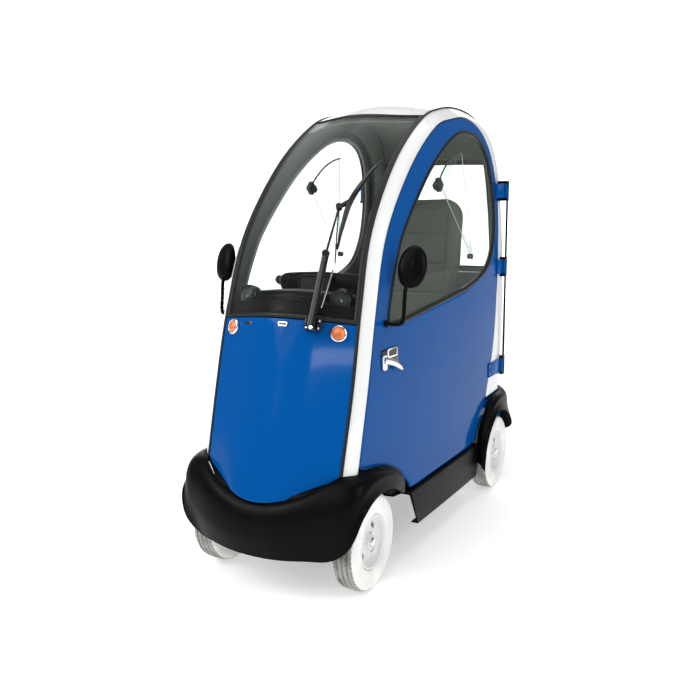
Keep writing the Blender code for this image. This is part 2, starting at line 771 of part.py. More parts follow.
def vent_frame(side):
    """Place of the swing pane: origin on its pivot, +Z along its pin, outward."""
    pivot = on_side(VENT_PIVOT, 0.0, side)
    up = on_side((VENT_PIVOT[0], VENT_PIVOT[1] + VENT_RADIUS), 0.0, side) - pivot
    back = on_side((VENT_PIVOT[0] - VENT_RADIUS * 0.7, VENT_PIVOT[1] + VENT_RADIUS * 0.7),
                   0.0, side) - pivot
    normal = up.cross(back).normalized() * side
    z_axis = (up - normal * up.dot(normal)).normalized()
    y_axis = z_axis.cross(normal) * side
    frame = Matrix((normal, y_axis, z_axis)).transposed()
    return pivot, frame


def vent_pane(name, side, finish, pivot_parent):
    pivot, frame = vent_frame(side)
    place = Matrix.Translation(pivot) @ frame.to_4x4()
    bm = bmesh.new()
    outline = [(y - VENT_PIVOT[0], z - VENT_PIVOT[1]) for y, z in vent_sector(0.0)]
    lower = [place @ Vector((-0.014, p[0], p[1])) for p in outline]
    upper = [place @ Vector((-0.018, p[0], p[1])) for p in outline]
    loft(bm, [lower, upper])
    add(name, bm, finish, pivot, pivot_parent)


def build_door(side, finish):
    pivot = (side * HINGE_AXIS_X, HINGE_AXIS_Y, HINGE_HEIGHTS[1])
    door = door_panel(side_name("door", side), side, finish["blue"], pivot)
    window_ring(side_name("window_seal", side), side, finish["rubber"], pivot, door)
    door_glass(side_name("door_glass", side), side, finish["tint"], pivot, door)
    vent_pane(side_name("vent_pane", side), side, finish["tint"], door)
    door_handle(side_name("door_handle", side), side, finish["chrome"], door)
    mirror(side_name("mirror", side), side, finish["black"], door)


def hinge_ears(bm, side, pivot):
    """Three hinge ears on the door skin, each with a barrel round its pin."""
    bore = HINGE_PIN_RADIUS + 0.0005
    for height in HINGE_HEIGHTS:
        length = HINGE_HEIGHT - 0.024
        tail = door_tail(height)
        outlines = []
        for radius, start, sweep, count in ((HINGE_BARREL_RADIUS, 150.0, -300.0, 9),
                                            (bore, 180.0, -360.0, 9)):
            ring = []
            for along, across in arc((0.0, 0.0), radius, start, start + sweep, count):
                ring.append((pivot[0] + side * across, pivot[1] + along))
            outlines.append(ring)
        barrel, hole = outlines
        ear(bm, barrel, hole[:-1], tail, side, height, length)


def door_tail(height):
    """Where a hinge ear ends on the door skin, as a y coordinate."""
    best = min(span(10.0, 15.0, 60), key=lambda t: abs(spline(HOOP_EDGE, t).y - height))
    return spline(HOOP_EDGE, best).x - 0.030


def ear(bm, barrel, hole, tail, side, height, length):
    """Barrel with a flat tail that stands over the hoop and bites into the door skin."""
    low = height - length / 2.0
    edge = tail + 0.030
    root = barrel[0][1] - 0.006
    near = side_x(root, low) + 0.0025
    near = max(near, HINGE_AXIS_X - HINGE_BARREL_RADIUS)
    outline = [
        (side * near, root),
        (side * (side_x(edge, low) + 0.0025), edge),
        (side * (side_x(tail, height + length / 2.0) - 0.0020), tail),
        (side * (side_x(tail, low) + HINGE_PLATE), tail),
        (side * (near + HINGE_PLATE), root)]
    if side * (barrel[0][0] - barrel[-1][0]) < 0.0:
        barrel = list(reversed(barrel))
    outline += barrel
    loops = []
    for z in (height - length / 2.0, height + length / 2.0):
        rings = []
        for flat in (outline, hole):
            rings.append([bm.verts.new(Vector((x, y, z))) for x, y in flat])
        edges = []
        for ring in rings:
            for k, vert in enumerate(ring):
                edges.append(bm.edges.new((vert, ring[(k + 1) % len(ring)])))
        bmesh.ops.triangle_fill(bm, use_beauty=True, use_dissolve=False, edges=edges)
        loops.append(rings)
    for lower, upper in zip(loops[0], loops[1]):
        for k in range(len(lower)):
            n = (k + 1) % len(lower)
            bm.faces.new((lower[k], lower[n], upper[n], upper[k]))


def hinge_rail(side, finish):
    """Upright beside the hoop with three C-shaped brackets and their pins."""
    bm = bmesh.new()
    half = HINGE_HEIGHT / 2.0
    lug = 0.0115
    front = HINGE_AXIS_Y - 0.0085
    back = HINGE_AXIS_Y + 0.0210
    web = back - 0.008
    outer = HINGE_AXIS_X + 0.0085
    for height in HINGE_HEIGHTS:
        inner = max(side_x(back, height - half), side_x(front, height - half)) + 0.0008
        outline = [(front, -half), (back, -half), (back, half), (front, half),
                   (front, half - lug), (web, half - lug), (web, lug - half),
                   (front, lug - half)]
        place = Matrix.Translation((side * inner, 0.0, height)) @ YZ_PLANE
        prism(bm, outline, side * (outer - inner), place)
        rod(bm, (side * HINGE_AXIS_X, HINGE_AXIS_Y, height - half + lug / 2.0),
            (side * HINGE_AXIS_X, HINGE_AXIS_Y, height + half - lug / 2.0),
            HINGE_PIN_RADIUS, 8)
    middle = (HINGE_HEIGHTS[0] + HINGE_HEIGHTS[-1]) / 2.0
    tall = HINGE_HEIGHTS[-1] - HINGE_HEIGHTS[0]
    box(bm, (side * (HINGE_AXIS_X + 0.002), back - 0.003, middle), (0.008, 0.005, tall))
    joined(side_name("hinge_rail", side), bm, finish["black"])


def door_handle(name, side, finish, parent):
    """Pull lever that hinges along its front end over a fixed pad."""
    front_y = HANDLE_Y - 0.070
    pivot = (side * (side_x(front_y, HANDLE_Z) + 0.010), front_y, HANDLE_Z)
    bm = bmesh.new()
    sections = []
    for y, half, lift in ((front_y - 0.006, 0.016, 0.004), (front_y + 0.030, 0.018, 0.010),
                          (front_y + 0.090, 0.016, 0.016), (front_y + 0.140, 0.012, 0.012)):
        base = side_x(y, HANDLE_Z) + 0.001
        sections.append(sided([
            (base + lift, y, HANDLE_Z - half), (base + lift + 0.006, y, HANDLE_Z - half * 0.6),
            (base + lift + 0.006, y, HANDLE_Z + half * 0.6), (base + lift, y, HANDLE_Z + half)],
            side))
    loft(bm, sections)
    add(name, bm, finish, pivot, parent)


def mirror(name, side, finish, parent):
    """Leaf-shaped mirror head on a bent stalk."""
    y, z = MIRROR_FOOT
    foot = Vector((side_x(y, z) + 0.0030, y, z))
    wrist = foot + Vector((0.062, 0.020, 0.115))
    centre = foot + Vector((0.071, 0.058, 0.186))
    bm = bmesh.new()
    bent_bar(bm, sided([foot, foot + Vector((0.046, 0.003, 0.000)),
                        foot + Vector((0.060, 0.006, 0.014)),
                        wrist, wrist.lerp(centre, 0.6)], side), 0.0065, 8)
    across = Vector((0.93, 0.37, 0.0))
    backward = Vector((-0.37, 0.93, 0.0))
    up = Vector((0.0, 0.25, 1.0))
    sections = []
    for depth, grow in ((-0.024, 0.45), (-0.016, 0.85), (0.000, 1.0), (0.008, 0.97)):
        loop = []
        for k in range(12):
            angle = 2.0 * math.pi * k / 12
            wide = MIRROR_HALF_WIDTH * grow * math.cos(angle)
            high = MIRROR_HALF_HEIGHT * grow * math.sin(angle)
            loop.append(centre + across * wide + up * high + backward * depth)
        sections.append(sided(loop, side))
    loft(bm, sections)
    joined(name, bm, finish, (side * foot.x, y, z), parent)


# ---------------------------------------------------------------- running gear
def tyre(name, centre, finish):
    """Tyre whose tread facets are tangent to the wheel radius, so one lies flat on the ground."""
    w = TYRE_HALF_WIDTH
    r = WHEEL_RADIUS / math.cos(math.pi / WHEEL_SEGMENTS)
    profile = [(-w * 0.72, RIM_RADIUS), (w * 0.72, RIM_RADIUS), (w * 0.98, 0.108), (w, 0.130),
               (w * 0.80, r - 0.010), (w * 0.38, r), (-w * 0.38, r), (-w * 0.80, r - 0.010),
               (-w, 0.130), (-w * 0.98, 0.108)]
    bm = bmesh.new()
    lathe(bm, profile, centre, WHEEL_SEGMENTS, 0.5)
    return add(name, bm, finish, centre)


def rim(name, centre, side, finish, parent):
    outer = RIM_RADIUS - 0.0006
    s = side
    profile = [(-0.034 * s, outer), (-0.034 * s, 0.083), (0.008 * s, 0.080), (0.008 * s, 0.034),
               (-0.022 * s, 0.028), (-0.022 * s, STUB_RADIUS + 0.001),
               (0.030 * s, STUB_RADIUS + 0.001), (0.030 * s, 0.026), (0.015 * s, 0.036),
               (0.015 * s, 0.076), (0.032 * s, 0.084), (0.034 * s, outer)]
    bm = bmesh.new()
    lathe(bm, profile, centre, WHEEL_SEGMENTS, 0.5)
    add(name, bm, finish, centre, parent)


def build_wheels(finish):
    for end, y, x in (("front", -AXLE_Y, FRONT_WHEEL_X), ("rear", AXLE_Y, REAR_WHEEL_X)):
        for side in (1, -1):
            centre = (side * x, y, WHEEL_RADIUS)
            ring = tyre(side_name(end + "_tyre", side), centre, finish["tyre"])
            rim(side_name(end + "_rim", side), centre, side, finish["rim"], ring)


def joined(name, bm, finish, pivot=(0.0, 0.0, 0.0), parent=None):
    """Add an object after uniting its overlapping solids into one body."""
    thing = add(name, bm, finish, pivot, parent)
    union = thing.modifiers.new("union", "BOOLEAN")
    union.operation = "UNION"
    union.operand_type = "COLLECTION"
    union.use_self = True
    union.collection = EMPTY_COLLECTION
    return thing


def chassis_frame(finish):
    """Two rails with cross members, the rear axle cradle and the seat post."""
    bm = bmesh.new()
    for side in (1, -1):
        box(bm, (side * RAIL_X, 0.0, RAIL_Z), (RAIL_SIZE[0], RAIL_LENGTH, RAIL_SIZE[1]))
    for y in (-0.715, -0.330, 0.060, 0.360, 0.700):
        box(bm, (0.0, y, RAIL_Z), (2.0 * RAIL_X - 0.020, 0.030, 0.030))
    for y in (-0.140, 0.330):
        box(bm, (0.0, y + 0.001, RAIL_Z - 0.001), (0.600, 0.028, 0.026))
    rod(bm, (0.0, SEAT_Y, RAIL_Z), (0.0, SEAT_Y, SEAT_Z - 0.060), SEAT_POST_RADIUS, 12)
    box(bm, (0.0, SEAT_Y, SEAT_Z - 0.056), (0.230, 0.240, 0.012))
    box(bm, (0.0, SEAT_Y, RAIL_Z), (2.0 * RAIL_X - 0.010, 0.050, 0.024))
    joined("chassis_frame", bm, finish["frame"])


def side_sill(bm, side):
    """Sill board under one door, its front end raked back."""
    sections = []
    for y_top, y_low in ((-0.300, -0.222), (-0.100, -0.060), (0.150, 0.150), (0.392, 0.392)):
        x_top = side_x(y_top, 0.3) + 0.012
        x_low = side_x(y_low, 0.3) + 0.006
        sections.append(sided([
            (x_top - 0.004, y_top, SILL_TOP),
            (x_top, y_top + 0.004, SILL_TOP - 0.006),
            (x_low, y_low, SILL_BOTTOM),
            (x_low - 0.030, y_low, SILL_BOTTOM),
            (x_low - 0.030, y_low, SILL_BOTTOM + 0.005),
            (x_low - 0.006, y_low, SILL_BOTTOM + 0.006),
            (x_top - 0.006, y_top, FLOOR_Z - 0.001),
            (x_top - 0.045, y_top, FLOOR_Z - 0.001),
            (x_top - 0.045, y_top, SILL_TOP)], side))
    loft(bm, sections)


def floor_tub(finish):
    """Floor moulding: footwell, side sills and the panel under the seat."""
    bm = bmesh.new()
    half = 0.300
    neck = 0.150
    slot = 0.032
    outline = [(-neck, -0.650), (neck, -0.650), (neck, -0.365), (0.280, -0.345),
               (0.298, -0.280), (half, 0.385), (slot, 0.385), (slot, 0.160),
               (-slot, 0.160), (-slot, 0.385), (-half, 0.385), (-0.298, -0.280),
               (-0.280, -0.345), (-neck, -0.365)]
    prism(bm, outline, 0.005, Matrix.Translation((0.0, 0.0, FLOOR_Z)))
    for side in (1, -1):
        side_sill(bm, side)
    joined("floor_tub", bm, finish["black"])


def front_axle(finish):
    bm = bmesh.new()
    box(bm, (0.0, -AXLE_Y, WHEEL_RADIUS), (2.0 * KINGPIN_X, 0.030, 0.026))
    for side in (1, -1):
        rod(bm, (side * KINGPIN_X, -AXLE_Y, WHEEL_RADIUS - 0.020),
            (side * KINGPIN_X, -AXLE_Y, WHEEL_RADIUS + 0.020), 0.014, 12)
        box(bm, (side * RAIL_X, -AXLE_Y, WHEEL_RADIUS + 0.021), (0.026, 0.028, 0.026))
    joined("front_axle", bm, finish["frame"])


def knuckle(side, finish):
    """Fork round the kingpin boss with the stub axle and the steering arm."""
    bm = bmesh.new()
    x = side * KINGPIN_X
    z = WHEEL_RADIUS
    for sign in (1, -1):
        box(bm, (x + side * 0.008, -AXLE_Y, z + sign * 0.027), (0.046, 0.030, 0.012))
    box(bm, (x + side * 0.026, -AXLE_Y, z), (0.012, 0.030, 0.066))
    rod(bm, (x + side * 0.024, -AXLE_Y, z),
        (side * (FRONT_WHEEL_X + 0.036), -AXLE_Y, z), STUB_RADIUS, 12)
    box(bm, (x - side * 0.002, -AXLE_Y + ARM_REACH / 2.0, z - 0.036),
        (0.022, ARM_REACH + 0.022, 0.010))
    name = side_name("steering_knuckle", side)
    return joined(name, bm, finish["steel"], (x, -AXLE_Y, z))


def tie_rod(parent, finish):
    """Rod between the two steering arms, with a ball-end stud through neither of them."""
    bm = bmesh.new()
    y = -AXLE_Y + ARM_REACH
    bar_x = KINGPIN_X - 0.002
    z = WHEEL_RADIUS - 0.050
    rod(bm, (-bar_x, y, z), (bar_x, y, z), 0.006, 8)
    for side in (1, -1):
        rod(bm, (side * bar_x, y, z - 0.008), (side * bar_x, y, z + 0.0085), 0.009, 8)
    joined("tie_rod", bm, finish["steel"], (bar_x, y, z), parent)


def build_steering(finish):
    left = knuckle(1, finish)
    knuckle(-1, finish)
    tie_rod(left, finish)
    top = TILLER_PIVOT
    bm = bmesh.new()
    direction = (top - COLUMN_FOOT).normalized()
    rod(bm, COLUMN_FOOT, top - direction * 0.024, COLUMN_RADIUS, 12)
    rod(bm, COLUMN_FOOT + direction * 0.002, COLUMN_FOOT + direction * 0.050, 0.026, 12)
    column = joined("steering_column", bm, finish["frame"], tuple(COLUMN_FOOT))
    bm = bmesh.new()
    box(bm, CONSOLE_CENTRE, CONSOLE_SIZE, CONSOLE_TURN)
    half = [Vector(p) for p in HANDLEBAR]
    bar = sided(half, -1) + [Vector(HANDLEBAR_MIDDLE)] + list(reversed(half))
    bent_bar(bm, [top + p for p in bar], GRIP_RADIUS, 10)
    for side in (1, -1):
        shroud = [top + Vector((side * x, dy, dz)) for x, dy, dz in
                  ((0.020, 0.030, 0.140), (0.110, 0.035, 0.134), (0.172, 0.050, 0.126))]
        bent_bar(bm, shroud, SHROUD_RADIUS, 10)
    post = console_point(0.0, 0.066, 0.018)
    box(bm, post, (0.022, 0.028, 0.010), CONSOLE_TURN)
    head = joined("tiller_head", bm, finish["black"], tuple(top), column)
    throttle_lever(finish["steel"], head)
    face = CONSOLE_SIZE[2] / 2.0
    for name, x, lift, radius, tip, height, slot in (
            ("speed_knob", -0.035, GAP, 0.015, 0.013, 0.016, "steel"),
            ("horn_button", 0.035, HORN_TRAVEL + GAP, 0.010, 0.010, 0.006, "amber")):
        bm = bmesh.new()
        foot = console_point(x, 0.040, face + lift)
        rod(bm, foot, console_point(x, 0.040, face + lift + height), radius, 12, tip)
        add(name, bm, finish[slot], tuple(foot), head)


def console_point(x, y, z):
    """Point in the steering console's own axes, which lean towards the driver."""
    return CONSOLE_CENTRE + CONSOLE_TURN @ Vector((x, y, z))


def throttle_lever(finish, head):
    """Wig-wag lever: a hub behind the console with a paddle to each side."""
    bm = bmesh.new()
    hub = console_point(0.0, 0.076, 0.035)
    rod(bm, console_point(0.0, 0.076, 0.0235), console_point(0.0, 0.076, 0.0465), 0.009, 12)
    box(bm, hub, (0.360, 0.006, 0.012), CONSOLE_TURN)
    for side in (1, -1):
        box(bm, console_point(side * 0.165, 0.078, 0.035), (0.060, 0.010, 0.022), CONSOLE_TURN)
    joined("throttle_lever", bm, finish, tuple(hub), head)


def build_drive(finish):
    bm = bmesh.new()
    z = WHEEL_RADIUS
    box(bm, (0.0, AXLE_Y, z + 0.004), (0.110, 0.120, 0.074))
    for side in (1, -1):
        rod(bm, (side * 0.050, AXLE_Y, z), (side * 0.300, AXLE_Y, z), AXLE_TUBE_RADIUS, 12)
    rod(bm, (-REAR_WHEEL_X - 0.036, AXLE_Y, z), (REAR_WHEEL_X + 0.036, AXLE_Y, z),
        STUB_RADIUS, 12)
    rod(bm, (0.0, AXLE_Y - 0.050, z), (0.0, AXLE_Y - 0.250, z), 0.034, 14)
    joined("transaxle", bm, finish["frame"])
    bm = bmesh.new()
    for side in (1, -1):
        box(bm, (side * 0.175, 0.205, 0.348), (0.180, 0.170, 0.205))
        box(bm, (0.0, 0.205 + side * 0.065, 0.2468), (0.340, 0.030, 0.0060))
    joined("battery_pack", bm, finish["black"])


# ---------------------------------------------------------------- cabin
def rounded_box(bm, centre, size, radius, segments=2):
    verts = box(bm, centre, size)
    edges = set()
    for vert in verts:
        edges.update(vert.link_edges)
    bmesh.ops.bevel(bm, geom=list(edges), offset=radius, segments=segments, profile=0.5,
                    affect="EDGES")


def build_seat(finish):
    slide = (0.0, SEAT_Y, SEAT_Z)
    bm = bmesh.new()
    box(bm, (0.0, SEAT_Y + 0.040, SEAT_Z - 0.008), (0.380, 0.440, 0.014))
    for side in (1, -1):
        box(bm, (side * 0.085, SEAT_Y, SEAT_Z - 0.0285), (0.030, 0.300, 0.0420))
        box(bm, (side * 0.246, SEAT_Y + 0.200, SEAT_Z + 0.155), (0.010, 0.050, 0.340))
        box(bm, (side * 0.213, SEAT_Y + 0.200, SEAT_Z - 0.008), (0.070, 0.044, 0.010))
    pan = joined("seat_pedestal", bm, finish["frame"], slide)
    bm = bmesh.new()
    rounded_box(bm, (0.0, SEAT_Y - 0.010, SEAT_Z + 0.046), SEAT_CUSHION, 0.024)
    add("seat_cushion", bm, finish["vinyl"], slide, pan)
    bm = bmesh.new()
    seat_back_solid(bm, (0.0, SEAT_Y + 0.235, SEAT_Z + 0.110))
    recline = (0.0, SEAT_Y + 0.245, SEAT_Z + 0.140)
    add("seat_back", bm, finish["vinyl"], recline, pan)
    for side in (1, -1):
        bm = bmesh.new()
        pivot = (side * 0.268, SEAT_Y + 0.205, SEAT_Z + 0.290)
        rounded_box(bm, (side * ARMREST_X, SEAT_Y + 0.075, SEAT_Z + 0.300), ARMREST, 0.010)
        add(side_name("armrest", side), bm, finish["vinyl"], pivot, pan)


def seat_back_solid(bm, foot):
    """Backrest with rounded shoulders, leaning back."""
    half = SEAT_BACK_HALF_WIDTH
    high = SEAT_BACK_HEIGHT
    shoulder = SHOULDER_RADIUS
    thick = SEAT_BACK_DEPTH
    waist = SEAT_BACK_WAIST
    flank = [(waist - 0.030, 0.0), (waist, 0.060), (waist, SEAT_BACK_WAIST_TOP),
             (half, SEAT_BACK_FLARE)]
    outline = list(flank)
    outline += arc((half - shoulder, high - shoulder), shoulder, 0.0, 90.0, 6)
    outline += arc((-half + shoulder, high - shoulder), shoulder, 90.0, 180.0, 6)
    outline += [(-x, y) for x, y in reversed(flank)]
    lean = Matrix.Rotation(math.radians(-SEAT_BACK_LEAN), 4, "X")
    stand = Matrix(((1.0, 0.0, 0.0, 0.0), (0.0, 0.0, -1.0, 0.0), (0.0, 1.0, 0.0, 0.0),
                    (0.0, 0.0, 0.0, 1.0)))
    place = Matrix.Translation((foot[0], foot[1] + 0.055, foot[2] + 0.005)) @ lean @ stand
    centre = Vector((0.0, high / 2.0))
    layers = []
    for depth, grow in ((0.0, 0.92), (0.018, 1.0), (thick - 0.020, 1.0), (thick, 0.92)):
        layer = []
        for p in outline:
            flat = centre + (Vector(p) - centre) * grow
            layer.append(place @ Vector((flat.x, flat.y, depth)))
        layers.append(layer)
    loft(bm, layers)


def build_dashboard(finish):
    """Dash band under the windscreen with a pod for each headlamp."""
    bm = bmesh.new()
    outer = []
    inner = []
    for u in span(-0.965, 0.965, 11):
        a = skin(COWL_TOP - 0.10, u, -0.030)
        b = skin(COWL_TOP + 0.34, u, -0.034)
        depth = Vector((0.0, 0.110 * (1.0 - 0.3 * abs(u)), 0.0))
        outer.append([a, b, b + Vector((0.0, 0.030, 0.004)), b + depth])
        inner.append([a + Vector((0.0, 0.005, 0.0)), b + Vector((0.0, 0.005, -0.005)),
                      b + Vector((0.0, 0.030, -0.002)), b + depth + Vector((0.0, 0.0, -0.006))])
    grid_shell(bm, outer, inner)
    add("dashboard", bm, finish["black"])


def lamp(name, t, u, lift, radius, depth, finish):
    """Pair of round lamps seated on the skin, facing outward."""
    for side in (1, -1):
        normal = skin_normal(t, side * u)
        base = skin(t, side * u, lift)
        bm = bmesh.new()
        rod(bm, base, base + normal * depth, radius, 14, radius * 0.86)
        add(side_name(name, side), bm, finish)


def build_lamps(finish):
    lamp("front_indicator", COWL_TOP - 0.11, 0.78, 0.0030, 0.026, 0.014, finish["amber"])
    lamp("headlight", COWL_TOP + 0.28, 0.755, -0.0240, 0.027, 0.0080, finish["clear"])
    lamp("rear_lamp", 13.10, 0.72, 0.0025, 0.034, 0.014, finish["red"])


def wiper_spindle():
    """Foot of the wiper motor, its normal, and the spindle's axis and outer end."""
    normal = skin_normal(WIPER_STATION, WIPER_ACROSS)
    base = skin(WIPER_STATION, WIPER_ACROSS, 0.004)
    upward = normal.cross(Vector((1.0, 0.0, 0.0))).normalized()
    axis = (normal - upward * math.tan(math.radians(WIPER_TILT))).normalized()
    return base, normal, axis, base + normal * 0.018 + axis * 0.018


def build_wiper(finish):
    base, normal, axis, tip = wiper_spindle()
    bm = bmesh.new()
    box(bm, base + normal * 0.011, (0.055, 0.036, 0.022), between(base, base + normal))
    rod(bm, tip - axis * 0.022, tip, 0.008, 10)
    joined("wiper_motor", bm, finish["black"])
    hub = tip + axis * GAP
    elbow = skin(2.58, 0.525, 0.034)
    head = skin(3.15, 0.546, 0.030)
    bm = bmesh.new()
    rod(bm, hub, hub + axis * 0.018, 0.011, 10)
    bent_bar(bm, [hub + axis * 0.012, elbow], 0.0055, 6)
    bent_bar(bm, [elbow - (elbow - hub).normalized() * 0.004, head], 0.0035, 6)
    arm = joined("wiper_arm", bm, finish["steel"], tuple(hub))
    bm = bmesh.new()
    bent_bar(bm, [skin(2.68, 0.635, 0.012), skin(3.25, 0.666, 0.013), skin(3.91, 0.830, 0.012)],
             0.0045, 6)
    add("wiper_blade", bm, finish["black"], tuple(head), arm)


# ---------------------------------------------------------------- assembly
def clear_scene():
    for thing in list(bpy.data.objects):
        bpy.data.objects.remove(thing, do_unlink=True)


def finishes():
    return {
        "blue": colour("blue paint", (0.000, 0.103, 0.429), 0.18),
        "white": colour("white paint", (0.820, 0.830, 0.820), 0.25),
        "black": colour("black plastic", (0.012, 0.013, 0.012), 0.45),
        "rubber": colour("black rubber", (0.018, 0.018, 0.018), 0.60),
        "clear": colour("clear glass", (0.850, 0.900, 0.880), 0.04, 0.0, 0.25),
        "tint": colour("tinted glass", (0.080, 0.095, 0.085), 0.05, 0.0, 0.55),
        "tyre": colour("grey tyre", (0.750, 0.770, 0.750), 0.70),
        "rim": colour("light rim", (0.620, 0.630, 0.620), 0.45),
        "chrome": colour("chrome", (0.800, 0.800, 0.800), 0.12, 1.0),
        "steel": colour("steel", (0.350, 0.350, 0.350), 0.35, 1.0),
        "frame": colour("frame paint", (0.030, 0.030, 0.032), 0.50),
        "vinyl": colour("grey vinyl", (0.055, 0.060, 0.058), 0.60),
        "amber": colour("amber lens", (0.900, 0.250, 0.020), 0.10),
        "red": colour("red lens", (0.500, 0.010, 0.010), 0.15),
    }


def main():
    finish = finishes()
    build_skins(finish)
    build_hoops(finish)
    build_mouldings(finish)
    build_dashboard(finish)
    build_lamps(finish)
    build_wiper(finish)
    for side in (1, -1):
        build_door(side, finish)
    for side in (1, -1):
        hinge_rail(side, finish)
    build_wheels(finish)
    chassis_frame(finish)
    floor_tub(finish)
    front_axle(finish)
    build_steering(finish)
    build_drive(finish)
    build_seat(finish)


clear_scene()
EMPTY_COLLECTION = bpy.data.collections.new("nothing to add")
main()
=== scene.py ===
"""Looks of an enclosed four-wheel mobility scooter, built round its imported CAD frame.

Metres, +Z up. The nose points to -Y and the driver's left is +X.
"""
import math

import bmesh
import bpy
from mathutils import Matrix, Vector


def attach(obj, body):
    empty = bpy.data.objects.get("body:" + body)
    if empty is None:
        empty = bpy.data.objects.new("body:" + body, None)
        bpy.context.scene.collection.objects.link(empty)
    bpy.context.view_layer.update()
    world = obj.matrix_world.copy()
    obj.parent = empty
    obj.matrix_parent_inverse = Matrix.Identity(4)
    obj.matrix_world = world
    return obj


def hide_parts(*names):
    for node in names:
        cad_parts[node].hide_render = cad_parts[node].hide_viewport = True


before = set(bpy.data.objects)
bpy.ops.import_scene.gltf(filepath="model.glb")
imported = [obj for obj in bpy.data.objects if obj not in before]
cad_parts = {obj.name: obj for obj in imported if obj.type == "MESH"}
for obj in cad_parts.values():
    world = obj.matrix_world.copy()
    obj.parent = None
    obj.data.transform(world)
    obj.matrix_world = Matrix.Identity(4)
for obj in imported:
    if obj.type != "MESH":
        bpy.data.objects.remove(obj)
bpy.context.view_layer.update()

# ---------------------------------------------------------------- driving dimensions
FIT = 0.004                     # panel gap
WHEEL_RADIUS = 0.165
TYRE_HALF_WIDTH = 0.042
RIM_RADIUS = 0.0925
AXLE_Y = 0.580
FRONT_WHEEL_X = 0.277
REAR_WHEEL_X = 0.347
STUB_RADIUS = 0.0115

FRONT_BAND = 0.034              # width of the hoop across the car, at its front and rear
REAR_BAND = 0.045
HOOP_DEPTH = 0.030
DOOR_THICKNESS = 0.010
PANEL_THICKNESS = 0.004
GLASS_THICKNESS = 0.004
SEAL_WIDTH = 0.014

FLOOR_Z = 0.238
SEAT_Z = 0.560
SEAT_Y = 0.200
TILLER_PIVOT = Vector((0.0, -0.385, 0.880))

# Side profile of the body hoop, (y, z) from the front arch over the roof to the rear arch.
HOOP_EDGE = [
    (-0.660, 0.423), (-0.600, 0.657), (-0.521, 0.938), (-0.416, 1.179), (-0.203, 1.406),
    (0.030, 1.563), (0.203, 1.612), (0.371, 1.630), (0.530, 1.598), (0.639, 1.520),
    (0.695, 1.400), (0.711, 1.260), (0.692, 1.080), (0.657, 0.880), (0.611, 0.660),
    (0.520, 0.432),
]
HOOP_CREST = [
    (-0.706, 0.422), (-0.639, 0.662), (-0.560, 0.945), (-0.457, 1.192), (-0.246, 1.430),
    (0.000, 1.593), (0.188, 1.651), (0.383, 1.672), (0.575, 1.655), (0.709, 1.590),
    (0.781, 1.455), (0.802, 1.270), (0.804, 1.080), (0.796, 0.880), (0.779, 0.660),
    (0.739, 0.440),
]
# Crown of the skin between the hoops at the same stations.
CROWN = [0.086, 0.077, 0.072, 0.064, 0.055, 0.044, 0.034, 0.020, 0.020, 0.026,
         0.030, 0.030, 0.032, 0.036, 0.042, 0.056]
COWL_TOP = 1.80                 # stations along the hoop profile where panels meet
WINDSCREEN_HEAD = 5.14
HEAD_ARCH = 0.28                # stations by which the windscreen head dips in the middle
ROOF_REAR = 9.70
REAR_WINDOW_FOOT = 12.55
REAR_PANEL_FOOT = 14.98
PANEL_JOINT = 0.015             # gap between two skins, in stations

# Window opening of the door, (y, z).
WINDOW = [
    (-0.443, 0.898), (-0.424, 0.963), (-0.370, 1.079), (-0.281, 1.205), (-0.052, 1.406),
    (0.186, 1.540), (0.370, 1.578), (0.510, 1.555), (0.597, 1.478), (0.639, 1.360),
    (0.649, 1.240), (0.617, 1.110), (0.517, 1.005), (0.302, 0.945), (0.099, 0.920),
    (-0.200, 0.889), (-0.368, 0.871), (-0.424, 0.872),
]
WINDOW_CENTRE = (0.130, 1.180)
# Lower edge of the door from the rear hoop to the front arch, (y, z).
DOOR_FOOT = [
    (0.500, 0.402), (0.424, 0.361), (0.371, 0.315), (0.344, 0.277), (0.314, 0.256),
    (0.153, 0.256), (-0.045, 0.256), (-0.260, 0.256), (-0.292, 0.282), (-0.366, 0.348),
    (-0.457, 0.394), (-0.549, 0.416),
]
SILL_TOP = 0.250
SILL_BOTTOM = 0.100

VENT_PIVOT = (0.376, 1.065)     # (y, z)
VENT_RADIUS = 0.430
VENT_START = 97.0               # degrees
VENT_END = 136.0

HINGE_AXIS_X = 0.361
HINGE_AXIS_Y = 0.706
HINGE_HEIGHTS = [0.548, 1.005, 1.345]
HINGE_LEAF_HEIGHT = 0.064
HINGE_BARREL_RADIUS = 0.0085

HANDLE_Y = -0.437
HANDLE_Z = 0.760
MIRROR_FOOT = (-0.466, 0.886)   # (y, z) on the door
MIRROR_HALF_WIDTH = 0.049
MIRROR_HALF_HEIGHT = 0.070

WIPER_STATION = COWL_TOP - 0.045
WIPER_ACROSS = 0.48
WIPER_TILT = 24.0               # degrees the spindle leans down from the glass normal

CONSOLE_CENTRE = TILLER_PIVOT + Vector((0.0, 0.020, 0.070))
CONSOLE_SIZE = (0.150, 0.110, 0.150)
CONSOLE_TURN = Matrix.Rotation(math.radians(-18.0), 3, "X")

